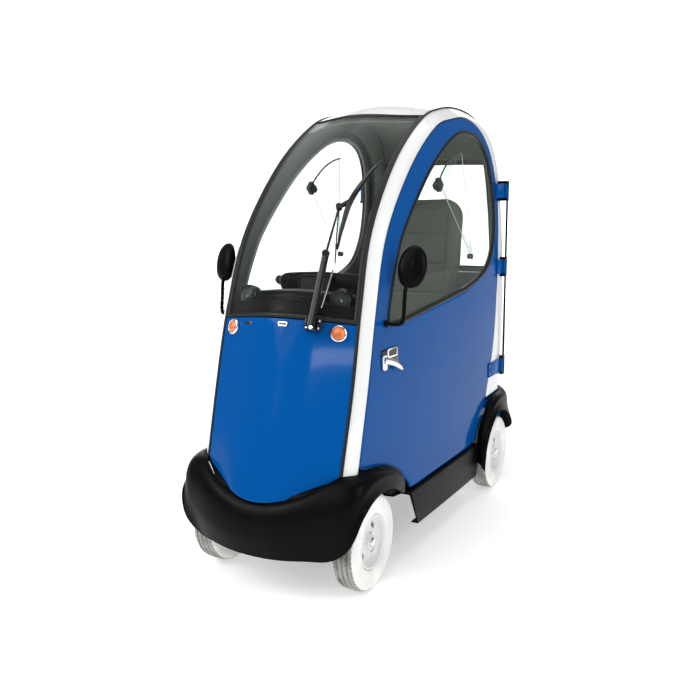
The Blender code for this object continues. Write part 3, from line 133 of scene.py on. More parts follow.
# Bumper stations: (top edge on the body, widest point, lower edge), left half, centre first.
FRONT_BUMPER = [
    ((0.000, -0.800, 0.332), (0.000, -0.846, 0.235), (0.000, -0.828, 0.150)),
    ((0.090, -0.801, 0.342), (0.095, -0.842, 0.240), (0.095, -0.824, 0.153)),
    ((0.180, -0.776, 0.374), (0.190, -0.822, 0.252), (0.190, -0.804, 0.160)),
    ((0.245, -0.733, 0.412), (0.270, -0.792, 0.275), (0.262, -0.776, 0.162)),
    ((0.288, -0.703, 0.422), (0.330, -0.762, 0.318), (0.330, -0.772, 0.215)),
    ((0.313, -0.660, 0.424), (0.354, -0.715, 0.365), (0.362, -0.745, 0.300)),
    ((0.321, -0.600, 0.423), (0.360, -0.640, 0.392), (0.368, -0.665, 0.345)),
    ((0.324, -0.540, 0.413), (0.362, -0.560, 0.390), (0.370, -0.580, 0.352)),
    ((0.327, -0.467, 0.392), (0.362, -0.480, 0.368), (0.369, -0.500, 0.334)),
    ((0.331, -0.400, 0.362), (0.358, -0.415, 0.335), (0.364, -0.440, 0.300)),
    ((0.333, -0.370, 0.335), (0.350, -0.380, 0.310), (0.356, -0.395, 0.282)),
]
REAR_BUMPER = [
    ((0.000, 0.810, 0.448), (0.000, 0.845, 0.340), (0.000, 0.838, 0.215)),
    ((0.120, 0.808, 0.448), (0.125, 0.845, 0.340), (0.125, 0.838, 0.212)),
    ((0.230, 0.798, 0.448), (0.240, 0.838, 0.340), (0.240, 0.836, 0.208)),
    ((0.300, 0.780, 0.445), (0.325, 0.818, 0.345), (0.330, 0.828, 0.204)),
    ((0.350, 0.740, 0.436), (0.380, 0.780, 0.365), (0.400, 0.806, 0.235)),
    ((0.363, 0.680, 0.428), (0.392, 0.715, 0.390), (0.408, 0.745, 0.300)),
    ((0.364, 0.600, 0.425), (0.396, 0.625, 0.405), (0.410, 0.650, 0.350)),
    ((0.363, 0.530, 0.402), (0.396, 0.530, 0.388), (0.410, 0.550, 0.358)),
    ((0.361, 0.456, 0.345), (0.394, 0.450, 0.330), (0.410, 0.470, 0.320)),
    ((0.359, 0.420, 0.297), (0.390, 0.410, 0.270), (0.406, 0.414, 0.258)),
    ((0.358, 0.404, 0.250), (0.386, 0.396, 0.220), (0.402, 0.400, 0.190)),
    ((0.358, 0.400, 0.160), (0.384, 0.394, 0.145), (0.400, 0.396, 0.125)),
]
MOULDING_THICKNESS = 0.005
BUMPER_WIDTH = 0.977            # share of the listed half widths

SKIN_EDGE = 0.001               # gap between a skin and the hoop beside it
LAMP_SEAT = 0.0005              # height of a lamp's foot over the skin
LAMP_SEGMENTS = 48
# Lamps: station and place across, then bezel and lens as (radius, height) pairs.
INDICATOR_PLACE = (COWL_TOP - 0.11, 0.78)
INDICATOR_RING = [(0.0200, 0.0), (0.0275, 0.0), (0.0285, 0.003), (0.0270, 0.0085),
                  (0.0235, 0.0105), (0.0215, 0.0085)]
INDICATOR_DOME = [(0.0, 0.0175), (0.006, 0.0172), (0.012, 0.0158), (0.017, 0.0132),
                  (0.0205, 0.0100), (0.0215, 0.0070), (0.0215, 0.0020), (0.0, 0.0020)]
REAR_LAMP_PLACE = (13.10, 0.72)
REAR_LAMP_RING = [(0.0290, 0.0), (0.0365, 0.0), (0.0375, 0.003), (0.0360, 0.0095),
                  (0.0325, 0.0115), (0.0305, 0.0095)]
REAR_LAMP_DOME = [(0.0, 0.0180), (0.010, 0.0176), (0.020, 0.0160), (0.027, 0.0130),
                  (0.0305, 0.0090), (0.0305, 0.0020), (0.0, 0.0020)]
HEADLAMP_PLACE = (COWL_TOP + 0.28, 0.755)
HEADLAMP_DEPTH = 0.0330         # below the skin

# Wiper joints on the glass: station, place across and height over the skin.
WIPER_ELBOW = (2.58, 0.525, 0.034)
WIPER_HEAD = (3.15, 0.546, 0.030)
WIPER_LINK = [(1.934, 0.551, 0.025), (2.200, 0.600, 0.026), (2.478, 0.647, 0.026)]
WIPER_LINK_BEND = (2.78, 0.615, 0.027)
WIPER_BLADE = [(2.68, 0.635, 0.0105), (2.95, 0.650, 0.0110), (3.25, 0.666, 0.0115),
               (3.58, 0.740, 0.0110), (3.91, 0.830, 0.0105)]

MAT_CENTRE_Y = -0.190
MAT_RIBS = 21
MAT_RIB_PITCH = 0.025

TREAD_GROOVES = (-0.42, 0.0, 0.42)      # shares of the tyre's half width
GROOVE_DEPTH = 0.0052
RIM_VENTS = 4

SEAT_CUSHION = (0.450, 0.430, 0.090)
SEAT_BACK_LEAN = 7.0            # degrees
SEAT_BACK_CENTRE = 0.325        # above the foot of the backrest
ARMREST = (0.046, 0.310, 0.036)
ARMREST_X = 0.276
CUSHION_VOXEL = 0.0055
ARMREST_VOXEL = 0.0040

SIDES = (("left", 1), ("right", -1))


# ---------------------------------------------------------------- finishes
def texture(tree, kind, scale, detail=3.0, stretch=None):
    """Procedural texture in the piece's own coordinates; returns its value socket."""
    place = tree.nodes.new("ShaderNodeTexCoord").outputs["Object"]
    if stretch is not None:
        mapping = tree.nodes.new("ShaderNodeMapping")
        mapping.inputs["Scale"].default_value = stretch
        tree.links.new(place, mapping.inputs["Vector"])
        place = mapping.outputs["Vector"]
    node = tree.nodes.new(kind)
    node.inputs["Scale"].default_value = scale
    if "Detail" in node.inputs:
        node.inputs["Detail"].default_value = detail
    tree.links.new(place, node.inputs["Vector"])
    return node.outputs["Distance" if kind == "ShaderNodeTexVoronoi" else 0]


def blend_colours(tree, factor, first, second):
    mix = tree.nodes.new("ShaderNodeMix")
    mix.data_type = "RGBA"
    tree.links.new(factor, mix.inputs[0])
    mix.inputs[6].default_value = (*first, 1.0)
    mix.inputs[7].default_value = (*second, 1.0)
    return mix.outputs[2]


def ranged(tree, value, low, high, source=(0.3, 0.7)):
    node = tree.nodes.new("ShaderNodeMapRange")
    node.inputs["From Min"].default_value = source[0]
    node.inputs["From Max"].default_value = source[1]
    node.inputs["To Min"].default_value = low
    node.inputs["To Max"].default_value = high
    tree.links.new(value, node.inputs["Value"])
    return node.outputs["Result"]


def surface(name, base, roughness, metallic=0.0, coat=0.0, vary=0.10, patch=5.0, grain=700.0,
            relief=0.0002, strength=0.4, spread=0.05, kind="ShaderNodeTexNoise", sheen=0.0,
            stretch=None, shade=None, specular=0.5, glow=0.0):
    """Principled material with colour drift, uneven roughness and a fine relief."""
    material = bpy.data.materials.new(name)
    material.use_nodes = True
    tree = material.node_tree
    shader = tree.nodes["Principled BSDF"]
    shader.inputs["Metallic"].default_value = metallic
    shader.inputs["Coat Weight"].default_value = coat
    shader.inputs["Coat Roughness"].default_value = 0.03
    shader.inputs["Sheen Weight"].default_value = sheen
    shader.inputs["Specular IOR Level"].default_value = specular
    if glow > 0.0:
        shader.inputs["Emission Color"].default_value = (1.0, 1.0, 1.0, 1.0)
        shader.inputs["Emission Strength"].default_value = glow
    dark = shade or tuple(channel * (1.0 - vary) for channel in base)
    light = tuple(min(channel * (1.0 + vary), 1.0) for channel in base)
    drift = ranged(tree, texture(tree, "ShaderNodeTexNoise", patch, 5.0), 0.0, 1.0)
    tree.links.new(blend_colours(tree, drift, dark, light), shader.inputs["Base Color"])
    smear = texture(tree, "ShaderNodeTexNoise", patch * 7.0, 4.0, stretch)
    tree.links.new(ranged(tree, smear, max(roughness - spread, 0.02), roughness + spread),
                   shader.inputs["Roughness"])
    bump = tree.nodes.new("ShaderNodeBump")
    bump.inputs["Strength"].default_value = strength
    bump.inputs["Distance"].default_value = relief
    tree.links.new(texture(tree, kind, grain, 3.0, stretch), bump.inputs["Height"])
    tree.links.new(bump.outputs["Normal"], shader.inputs["Normal"])
    return material


def glazing(name, tint, haze, body):
    """Pane that lets light straight through and mirrors more at a glancing angle."""
    material = bpy.data.materials.new(name)
    material.use_nodes = True
    tree = material.node_tree
    gloss = tree.nodes["Principled BSDF"]
    gloss.inputs["Base Color"].default_value = (*body, 1.0)
    smear = texture(tree, "ShaderNodeTexNoise", 9.0, 5.0)
    tree.links.new(ranged(tree, smear, 0.02, 0.07), gloss.inputs["Roughness"])
    clear = tree.nodes.new("ShaderNodeBsdfTransparent")
    drift = texture(tree, "ShaderNodeTexNoise", 2.5, 2.0)
    light = tuple(min(channel * 1.03, 1.0) for channel in tint)
    tree.links.new(blend_colours(tree, drift, tint, light), clear.inputs["Color"])
    edge = tree.nodes.new("ShaderNodeLayerWeight")
    edge.inputs["Blend"].default_value = 0.5
    steep = tree.nodes.new("ShaderNodeMath")
    steep.operation = "POWER"
    steep.inputs[1].default_value = 4.5
    tree.links.new(edge.outputs["Facing"], steep.inputs[0])
    mix = tree.nodes.new("ShaderNodeMixShader")
    tree.links.new(ranged(tree, steep.outputs["Value"], haze, 0.75, (0.0, 1.0)),
                   mix.inputs["Fac"])
    tree.links.new(clear.outputs["BSDF"], mix.inputs[1])
    tree.links.new(gloss.outputs["BSDF"], mix.inputs[2])
    out = tree.nodes["Material Output"]
    tree.links.new(mix.outputs["Shader"], out.inputs["Surface"])
    return material


def make_finishes():
    """Every finish by name, with the record's material slot it stands for."""
    voronoi = "ShaderNodeTexVoronoi"
    return {
        "blue": (surface("blue gloss paint", (0.000, 0.071, 0.285), 0.09, coat=0.03, vary=0.05,
                         patch=2.0, grain=260.0, relief=0.00002, spread=0.02,
                         specular=0.06), "blue_paint"),
        "white": (surface("white gloss paint", (0.800, 0.810, 0.800), 0.28, coat=0.8, vary=0.012,
                          patch=1.2, grain=260.0, relief=0.00003, spread=0.01), "white_paint"),
        "plastic": (surface("grained black plastic", (0.0018, 0.0022, 0.0018), 0.34, vary=0.3,
                            patch=7.0, grain=900.0, relief=0.00020, strength=0.30,
                            spread=0.04, specular=0.055), "black_plastic"),
        "gloss": (surface("gloss black plastic", (0.004, 0.005, 0.004), 0.18, coat=0.2, vary=0.3,
                          grain=500.0, relief=0.00006, specular=0.35), "black_plastic"),
        "liner": (surface("grey cabin liner", (0.082, 0.092, 0.077), 0.55, vary=0.10, patch=4.0,
                          grain=620.0, relief=0.0003, strength=0.5, sheen=0.1), "black_plastic"),
        "trim": (surface("pale grey cabin trim", (0.340, 0.355, 0.335), 0.50, vary=0.08,
                         patch=4.0, grain=620.0, relief=0.0002, sheen=0.1), "black_rubber"),
        "rubber": (surface("black rubber", (0.006, 0.007, 0.006), 0.45, vary=0.25, patch=12.0,
                           grain=480.0, relief=0.00025, spread=0.10, specular=0.3), "black_rubber"),
        "foam": (surface("ribbed foam grip", (0.015, 0.015, 0.014), 0.85, vary=0.3, patch=20.0,
                         grain=700.0, relief=0.0006, strength=0.7, kind=voronoi,
                         sheen=0.2), "black_rubber"),
        "mat": (surface("rubber floor mat", (0.030, 0.031, 0.030), 0.75, vary=0.3, patch=9.0,
                        grain=380.0, relief=0.0005, strength=0.6), "black_rubber"),
        "clear": (glazing("clear glass", (0.960, 0.978, 0.968), 0.010, (0.30, 0.33, 0.31)),
                  "clear_glass"),
        "tint": (glazing("tinted glass", (0.940, 0.958, 0.945), 0.040, (0.15, 0.17, 0.15)),
                 "tinted_glass"),
        "lens": (glazing("lamp glass", (0.720, 0.740, 0.730), 0.060, (0.40, 0.42, 0.40)),
                 "clear_glass"),
        "amber": (surface("amber lens", (0.720, 0.150, 0.010), 0.10, coat=1.0, vary=0.35,
                          patch=60.0, grain=230.0, relief=0.0012, strength=0.9,
                          kind=voronoi), "amber_lens"),
        "red": (surface("red lens", (0.560, 0.010, 0.012), 0.12, coat=1.0, vary=0.30, patch=50.0,
                        grain=230.0, relief=0.0008, strength=0.6, kind=voronoi), "red_lens"),
        "tyre": (surface("light grey tyre", (0.880, 0.895, 0.870), 0.70, vary=0.10, patch=11.0,
                         grain=330.0, relief=0.0005, strength=0.5, spread=0.10,
                         shade=(0.760, 0.770, 0.740)), "grey_tyre"),
        "tread": (surface("worn grey tread", (0.370, 0.375, 0.350), 0.85, vary=0.15, patch=16.0,
                          grain=330.0, relief=0.0008, strength=0.6, spread=0.08,
                          shade=(0.180, 0.180, 0.165)), "grey_tyre"),
        "rim": (surface("light grey rim paint", (0.760, 0.770, 0.755), 0.34, coat=0.3, vary=0.05,
                        patch=14.0, grain=420.0, relief=0.00012), "light_rim"),
        "chrome": (surface("chrome plate", (0.830, 0.835, 0.840), 0.09, 1.0, vary=0.05,
                           patch=18.0, grain=300.0, relief=0.00005, spread=0.05), "chrome"),
        "steel": (surface("brushed steel", (0.360, 0.360, 0.355), 0.34, 1.0, vary=0.12,
                          patch=15.0, grain=300.0, relief=0.0002, spread=0.10,
                          stretch=(1.0, 1.0, 9.0)), "steel"),
        "frame": (surface("black frame enamel", (0.028, 0.028, 0.030), 0.45, vary=0.25,
                          patch=10.0, grain=240.0, relief=0.0003, spread=0.12), "frame_paint"),
        "vinyl": (surface("grey vinyl", (0.083, 0.091, 0.078), 0.52, vary=0.12, patch=8.0,
                          grain=430.0, relief=0.0006, strength=0.55, spread=0.06, sheen=0.15,
                          kind=voronoi), "grey_vinyl"),
        "piping": (surface("dark seat piping", (0.022, 0.024, 0.021), 0.50, vary=0.2, patch=30.0,
                           grain=900.0, relief=0.0003), "grey_vinyl"),
        "mirror": (surface("mirror glass", (0.860, 0.870, 0.880), 0.03, 1.0, vary=0.03,
                           patch=6.0, grain=200.0, relief=0.00001, spread=0.01), "chrome"),
    }


FINISH = make_finishes()


# ---------------------------------------------------------------- shape helpers
def side_x(y, z):
    """Half width of the body side at (y, z): it tapers to the nose and leans in above the waist."""
    above = max(z - 0.600, 0.0)
    ahead = max(0.250 - y, 0.0)
    lean = (0.055 + 0.050 * ahead * ahead) * above * above
    return 0.332 + 0.0405 * y - 0.018 * y * y - lean


def spline(points, t):
    """Catmull-Rom curve through the points; t counts points."""
    last = len(points) - 1
    i = min(max(int(math.floor(t)), 0), last - 1)
    f = t - i
    p1 = points[i]
    p2 = points[i + 1]
    scalar = not hasattr(p1, "__len__")
    if scalar:
        p0 = points[i - 1] if i > 0 else 2.0 * p1 - p2
        p3 = points[i + 2] if i + 2 <= last else 2.0 * p2 - p1
        quads = [(p0, p1, p2, p3)]
    else:
        p0 = points[i - 1] if i > 0 else [2.0 * a - b for a, b in zip(p1, p2)]
        p3 = points[i + 2] if i + 2 <= last else [2.0 * b - a for a, b in zip(p1, p2)]
        quads = list(zip(p0, p1, p2, p3))
    values = []
    for a, b, c, d in quads:
        cubic = (-a + 3.0 * b - 3.0 * c + d) * f ** 3
        square = (2.0 * a - 5.0 * b + 4.0 * c - d) * f ** 2
        values.append(0.5 * (cubic + square + (c - a) * f) + b)
    return values[0] if scalar else Vector(values)


def span(start, end, count):
    """Even values from start to end."""
    return [start + (end - start) * k / (count - 1) for k in range(count)]


def edged(start, end, count, hold=0.012):
    """Even stations with one more held close to each end, which keeps a subdivided edge crisp."""
    values = span(start, end, count)
    reach = (end - start) * hold
    return [values[0], values[0] + reach] + values[1:-1] + [values[-1] - reach, values[-1]]


def band(t):
    """Width of the hoop across the car at a station of its profile."""
    blend = min(max((t - 3.0) / 5.0, 0.0), 1.0)
    return FRONT_BAND + (REAR_BAND - FRONT_BAND) * blend * blend * (3.0 - 2.0 * blend)


def outward(curve, t):
    """Unit normal of a (y, z) profile at t, pointing away from the cabin."""
    tangent = (spline(curve, t + 0.01) - spline(curve, t - 0.01)).normalized()
    return Vector((-tangent.y, tangent.x))


def skin_point(t, u):
    """Crowned skin between the hoops: t runs along the profile, u across from -1 to 1."""
    y, z = spline(HOOP_CREST, t)
    normal = outward(HOOP_CREST, t)
    bell = 0.5 * math.cos(math.pi * u / 2.0) ** 2
    crown = spline(CROWN, t) * (bell + 0.5 * (1.0 - abs(u) ** 2.4))
    return Vector((u * (side_x(y, z) - band(t)), y + normal.x * crown, z + normal.y * crown))


def skin_normal(t, u):
    step = 0.02
    along = skin_point(t + step, u) - skin_point(t - step, u)
    inner = min(abs(u), 1.0 - step)
    side = math.copysign(inner, u)
    across = skin_point(t, side + step) - skin_point(t, side - step)
    return across.cross(along).normalized()


def skin(t, u, lift=0.0):
    """Point on the skin, lifted along its normal."""
    return skin_point(t, u) + skin_normal(t, u) * lift


def at(station):
    """Edge that keeps to one station all the way across."""
    return lambda u: station


def head_line(offset):
    """Edge along the windscreen's head, which dips towards the middle."""
    return lambda u: WINDSCREEN_HEAD - HEAD_ARCH * (1.0 - u * u) + offset


def inset_u(t, u, margin):
    """Place across the skin, held back from each hoop by the margin."""
    half = skin_point(t, 1.0).x
    return u * (half - margin) / half


def skin_grid(start, end, steps, u_values, lift=0.0, margin=0.0):
    """Grid on the skin from one edge to another, held back from each hoop by the margin."""
    rows = []
    for step in steps:
        row = []
        for u in u_values:
            t = start(u) + (end(u) - start(u)) * step
            row.append(skin(t, inset_u(t, u, margin), lift))
        rows.append(row)
    return rows


def on_side(point, depth, side):
    """Point on the body side at (y, z), set in by the depth."""
    y, z = point[0], point[1]
    return Vector((side * (side_x(y, z) - depth), y, z))


def side_normal(y, z, side):
    """Outward normal of the body side."""
    step = 0.005
    along = Vector((side_x(y + step, z) - side_x(y - step, z), 2.0 * step, 0.0))
    up = Vector((side_x(y, z + step) - side_x(y, z - step), 0.0, 2.0 * step))
    normal = along.cross(up).normalized()
    return Vector((side * normal.x, normal.y, normal.z))


def sided(points, side):
    """The points of the left half, mirrored where the side is the right."""
    return [Vector((side * p[0], p[1], p[2])) for p in points]


def arc(centre, radius, start, end, count):
    points = []
    for angle in span(math.radians(start), math.radians(end), count):
        points.append((centre[0] + radius * math.cos(angle), centre[1] + radius * math.sin(angle)))
    return points


def smooth_path(points, per_point):
    """Points of the smooth curve through a path."""
    last = len(points) - 1
    return [spline(points, t) for t in span(0.0, last, last * per_point + 1)]


def rounded_loop(points, radius, steps=3):
    """Closed loop with each corner rounded by the radius."""
    result = []
    count = len(points)
    for i, here in enumerate(points):
        back = points[i - 1] - here
        ahead = points[(i + 1) % count] - here
        reach = min(radius, back.length * 0.45, ahead.length * 0.45)
        a = here + back.normalized() * reach
        b = here + ahead.normalized() * reach
        for f in span(0.0, 1.0, steps):
            result.append(a * (1.0 - f) ** 2 + here * (2.0 * f * (1.0 - f)) + b * f * f)
    return result


# ---------------------------------------------------------------- mesh helpers
def grid_shell(bm, outer, inner, closed_rows=False, inner_finish=0):
    """Closed solid between two matching grids of points."""
    rows = len(outer)
    columns = len(outer[0])
    top = [[bm.verts.new(p) for p in row] for row in outer]
    bottom = [[bm.verts.new(p) for p in row] for row in inner]
    for i in range(rows if closed_rows else rows - 1):
        k = (i + 1) % rows
        for j in range(columns - 1):
            bm.faces.new((top[i][j], top[i][j + 1], top[k][j + 1], top[k][j]))
            face = bm.faces.new((bottom[i][j], bottom[k][j], bottom[k][j + 1], bottom[i][j + 1]))
            face.material_index = inner_finish
        bm.faces.new((top[i][0], top[k][0], bottom[k][0], bottom[i][0]))
        bm.faces.new((top[i][-1], bottom[i][-1], bottom[k][-1], top[k][-1]))
    if not closed_rows:
        for j in range(columns - 1):
            bm.faces.new((top[0][j], bottom[0][j], bottom[0][j + 1], top[0][j + 1]))
            bm.faces.new((top[-1][j], top[-1][j + 1], bottom[-1][j + 1], bottom[-1][j]))


def loft(bm, sections, closed=False, finishes=None):
    """Closed solid through loops of the same length, capped unless it closes on itself."""
    loops = [[bm.verts.new(p) for p in section] for section in sections]
    size = len(loops[0])
    for i in range(len(loops) if closed else len(loops) - 1):
        here = loops[i]
        there = loops[(i + 1) % len(loops)]
        for j in range(size):
            k = (j + 1) % size
            face = bm.faces.new((here[j], here[k], there[k], there[j]))
            if finishes is not None:
                face.material_index = finishes[j]
    if not closed:
        bm.faces.new(list(reversed(loops[0])))
        bm.faces.new(loops[-1])


def axis_frame(axis):
    """Rotation that turns +Z to the axis."""
    return Vector(axis).to_track_quat("Z", "Y").to_matrix()


def turned(bm, profile, base, axis, segments=48, closed=False, finish=0):
    """Solid of revolution about the axis through the base, from (radius, height) pairs."""
    turn = axis_frame(axis)
    base = Vector(base)
    loops = []
    for radius, height in profile:
        if radius < 1e-6:
            loops.append([bm.verts.new(base + turn @ Vector((0.0, 0.0, height)))])
            continue
        loop = []
        for k in range(segments):
            angle = 2.0 * math.pi * k / segments
            place = Vector((radius * math.cos(angle), radius * math.sin(angle), height))
            loop.append(bm.verts.new(base + turn @ place))
        loops.append(loop)
    pairs = list(zip(loops[:-1], loops[1:]))
    if closed:
        pairs.append((loops[-1], loops[0]))
    for a, b in pairs:
        for k in range(segments):
            n = (k + 1) % segments
            if len(a) == 1:
                face = bm.faces.new((a[0], b[k], b[n]))
            elif len(b) == 1:
                face = bm.faces.new((a[k], b[0], a[n]))
            else:
                face = bm.faces.new((a[k], b[k], b[n], a[n]))
            face.material_index = finish


def sweep(bm, path, section, normals=None, closed=False, scale=None):
    """Carry an (across, out) section along a path; it keeps to the normals where they are given."""
    path = [Vector(p) for p in path]
    count = len(path)
    loops = []
    normal = None
    for i, here in enumerate(path):
        before = path[i - 1] if closed or i > 0 else here
        after = path[(i + 1) % count] if closed or i < count - 1 else here
        tangent = (after - before).normalized()
        if normals is not None:
            normal = normals[i]
        elif normal is None:
            normal = tangent.orthogonal()
        normal = (normal - tangent * normal.dot(tangent)).normalized()
        across = tangent.cross(normal)
        grow = 1.0 if scale is None else scale[i]
        loops.append([here + across * (a * grow) + normal * (b * grow) for a, b in section])
    loft(bm, loops, closed)


def ellipse(width, height, count=10, lift=0.0):
    """Oval section, (across, out)."""
    return [(width * math.cos(2.0 * math.pi * k / count),
             lift + height * math.sin(2.0 * math.pi * k / count)) for k in range(count)]


def tube(bm, path, radius, segments=12, normals=None, closed=False):
    """Round bar along a path."""
    sweep(bm, path, ellipse(radius, radius, segments), normals, closed)


def box(bm, centre, size, turn=None, bevel=0.0, segments=3, finish=0):
    """Box with rounded edges."""
    matrix = Matrix.Translation(centre)
    if turn is not None:
        matrix = matrix @ turn.to_4x4()
    matrix = matrix @ Matrix.Diagonal((size[0], size[1], size[2], 1.0))
    verts = bmesh.ops.create_cube(bm, size=1.0, matrix=matrix)["verts"]
    faces = {face for vert in verts for face in vert.link_faces}
    for face in faces:
        face.material_index = finish
    if bevel > 0.0:
        edges = {edge for vert in verts for edge in vert.link_edges}
        bmesh.ops.bevel(bm, geom=list(edges), offset=bevel, segments=segments, profile=0.5,
                        affect="EDGES", clamp_overlap=True)


def rod(bm, start, end, radius, segments=24, bevel=0.0008, finish=0):
    """Round bar with eased ends."""
    start = Vector(start)
    end = Vector(end)
    length = (end - start).length
    profile = [(0.0, 0.0), (radius - bevel, 0.0), (radius, bevel), (radius, length - bevel),
               (radius - bevel, length), (0.0, length)]
    turned(bm, profile, start, end - start, segments, finish=finish)


def piece(name, bm, body, finish, replaces=(), level=0, angle=32.0):
    """Turn the bmesh into a named piece that rides on a body."""
    finishes = [finish] if isinstance(finish, str) else list(finish)
    bmesh.ops.recalc_face_normals(bm, faces=bm.faces)
    mesh = bpy.data.meshes.new(name)
    bm.to_mesh(mesh)
    bm.free()
    for key in finishes:
        mesh.materials.append(FINISH[key][0])
    mesh.shade_smooth()
    if level == 0:
        mesh.set_sharp_from_angle(angle=math.radians(angle))
    thing = bpy.data.objects.new(name, mesh)
    bpy.context.scene.collection.objects.link(thing)
    if level > 0:
        smooth = thing.modifiers.new("smooth", "SUBSURF")
        smooth.levels = level
        smooth.render_levels = level
    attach(thing, body)
    if replaces:
        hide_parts(*replaces)
    return thing


def bake(thing):
    """Apply every modifier of the object to its mesh."""
    bpy.context.view_layer.update()
    graph = bpy.context.evaluated_depsgraph_get()
    mesh = bpy.data.meshes.new_from_object(thing.evaluated_get(graph))
    thing.modifiers.clear()
    old = thing.data
    thing.data = mesh
    bpy.data.meshes.remove(old)


def carve(thing, cutters):
    """Cut each closed bmesh out of the piece."""
    for bm in cutters:
        bmesh.ops.recalc_face_normals(bm, faces=bm.faces)
        mesh = bpy.data.meshes.new("cutter")
        bm.to_mesh(mesh)
        bm.free()
        cutter = bpy.data.objects.new("cutter", mesh)
        bpy.context.scene.collection.objects.link(cutter)
        cut = thing.modifiers.new("cut", "BOOLEAN")
        cut.operation = "DIFFERENCE"
        cut.object = cutter
        bake(thing)
        bpy.data.objects.remove(cutter)
    thing.data.set_sharp_from_angle(angle=math.radians(32.0))


# ---------------------------------------------------------------- body skins
def skin_panel(name, start, end, rows, columns, finish, thickness, margin, node):
    steps = edged(0.0, 1.0, rows, 0.004)
    across = edged(-1.0, 1.0, columns, 0.006)
    bm = bmesh.new()
    outer = skin_grid(start, end, steps, across, 0.0, margin)
    inner = skin_grid(start, end, steps, across, -thickness, margin)
    grid_shell(bm, outer, inner, inner_finish=len(finish) - 1)
    return piece(name, bm, "chassis", finish, (node,), level=2)


def cowl_foot(u):
    """Station of the cowl's lower edge."""
    return -0.44 + 0.44 * u * u


def cowl():
    """Nose panel: its foot dips in the middle, behind the bumper."""
    grids = []
    for lift in (0.0, -PANEL_THICKNESS):
        rows = []
        for step in edged(0.0, 1.0, 12):
            row = []
            for u in edged(-1.0, 1.0, 19, 0.006):
                foot = cowl_foot(u)
                row.append(skin(foot + (COWL_TOP - foot) * step, u * 0.995, lift))
            rows.append(row)
        grids.append(rows)
    bm = bmesh.new()
    grid_shell(bm, grids[0], grids[1], inner_finish=1)
    piece("cowl_shell", bm, "chassis", ("blue", "liner"), ("front_cowl",), level=2)


def ring_piece(name, edge_t, edge_u, inner_t, inner_u, height, depth, finish, node=None):
    """Moulded ring on the skin: edge_t and edge_u bound it outside, inner_t and inner_u inside.

    The t bounds are edges across the skin and the u bounds are metres in from the hoop.
    """
    path = []
    for step in span(0.0, 1.0, 30):
        path.append((step, 1.0))
    for u in span(1.0, -1.0, 22)[1:-1]:
        path.append((1.0, u))
    for step in span(1.0, 0.0, 30):
        path.append((step, -1.0))
    for u in span(-1.0, 1.0, 22)[1:-1]:
        path.append((0.0, u))
    profile = [(0.0, -depth), (0.0, 0.001), (0.12, height * 0.8), (0.35, height),
               (0.65, height), (0.88, height * 0.7), (1.0, 0.0005), (1.0, -depth)]
    sections = []
    for step, u in path:
        section = []
        for f, lift in profile:
            low = edge_t[0](u) + (inner_t[0](u) - edge_t[0](u)) * f
            high = edge_t[1](u) + (inner_t[1](u) - edge_t[1](u)) * f
            t = low + (high - low) * step
            inset = edge_u + (inner_u - edge_u) * f
            section.append(skin(t, inset_u(t, u, inset), lift))
        sections.append(section)
    bm = bmesh.new()
    loft(bm, sections, closed=True)
    nodes = (node,) if node else ()
    piece(name, bm, "chassis", finish, nodes, angle=50.0)


def body_skins():
    cowl()
    margin = SEAL_WIDTH + 0.001
    foot = COWL_TOP
    skin_panel("windscreen_pane", at(foot + 0.06), head_line(-0.07), 20, 15, ("clear",),
               GLASS_THICKNESS, margin, "windscreen")
    ring_piece("windscreen_gasket", (at(foot + 0.008), head_line(0.005)), 0.001,
               (at(foot + 0.056), head_line(-0.066)), SEAL_WIDTH + 0.003, 0.0045, 0.008, "rubber",
               "windscreen_seal")
    skin_panel("roof_shell", head_line(0.02), at(ROOF_REAR), 16, 15, ("white", "liner"),
               PANEL_THICKNESS, SKIN_EDGE, "roof_panel")
    top = ROOF_REAR + PANEL_JOINT
    skin_panel("rear_window_pane", at(top + 0.05), at(REAR_WINDOW_FOOT - 0.05), 14, 13,
               ("clear",), PANEL_THICKNESS, 0.012, "rear_window")
    ring_piece("rear_window_gasket", (at(top), at(REAR_WINDOW_FOOT + 0.010)), 0.001,
               (at(ROOF_REAR + 0.22), at(REAR_WINDOW_FOOT - 0.14)), 0.034, 0.004, 0.009, "rubber")
    across = edged(-1.0, 1.0, 13, 0.006)
    steps = edged(0.0, 1.0, 14, 0.006)
    bm = bmesh.new()
    faces = [skin_grid(head_line(-0.12), at(ROOF_REAR + 0.06), steps, across, lift,
                       SKIN_EDGE)
             for lift in (-0.014, -0.020)]
    grid_shell(bm, faces[0], faces[1])
    piece("headliner", bm, "chassis", "liner", level=2)


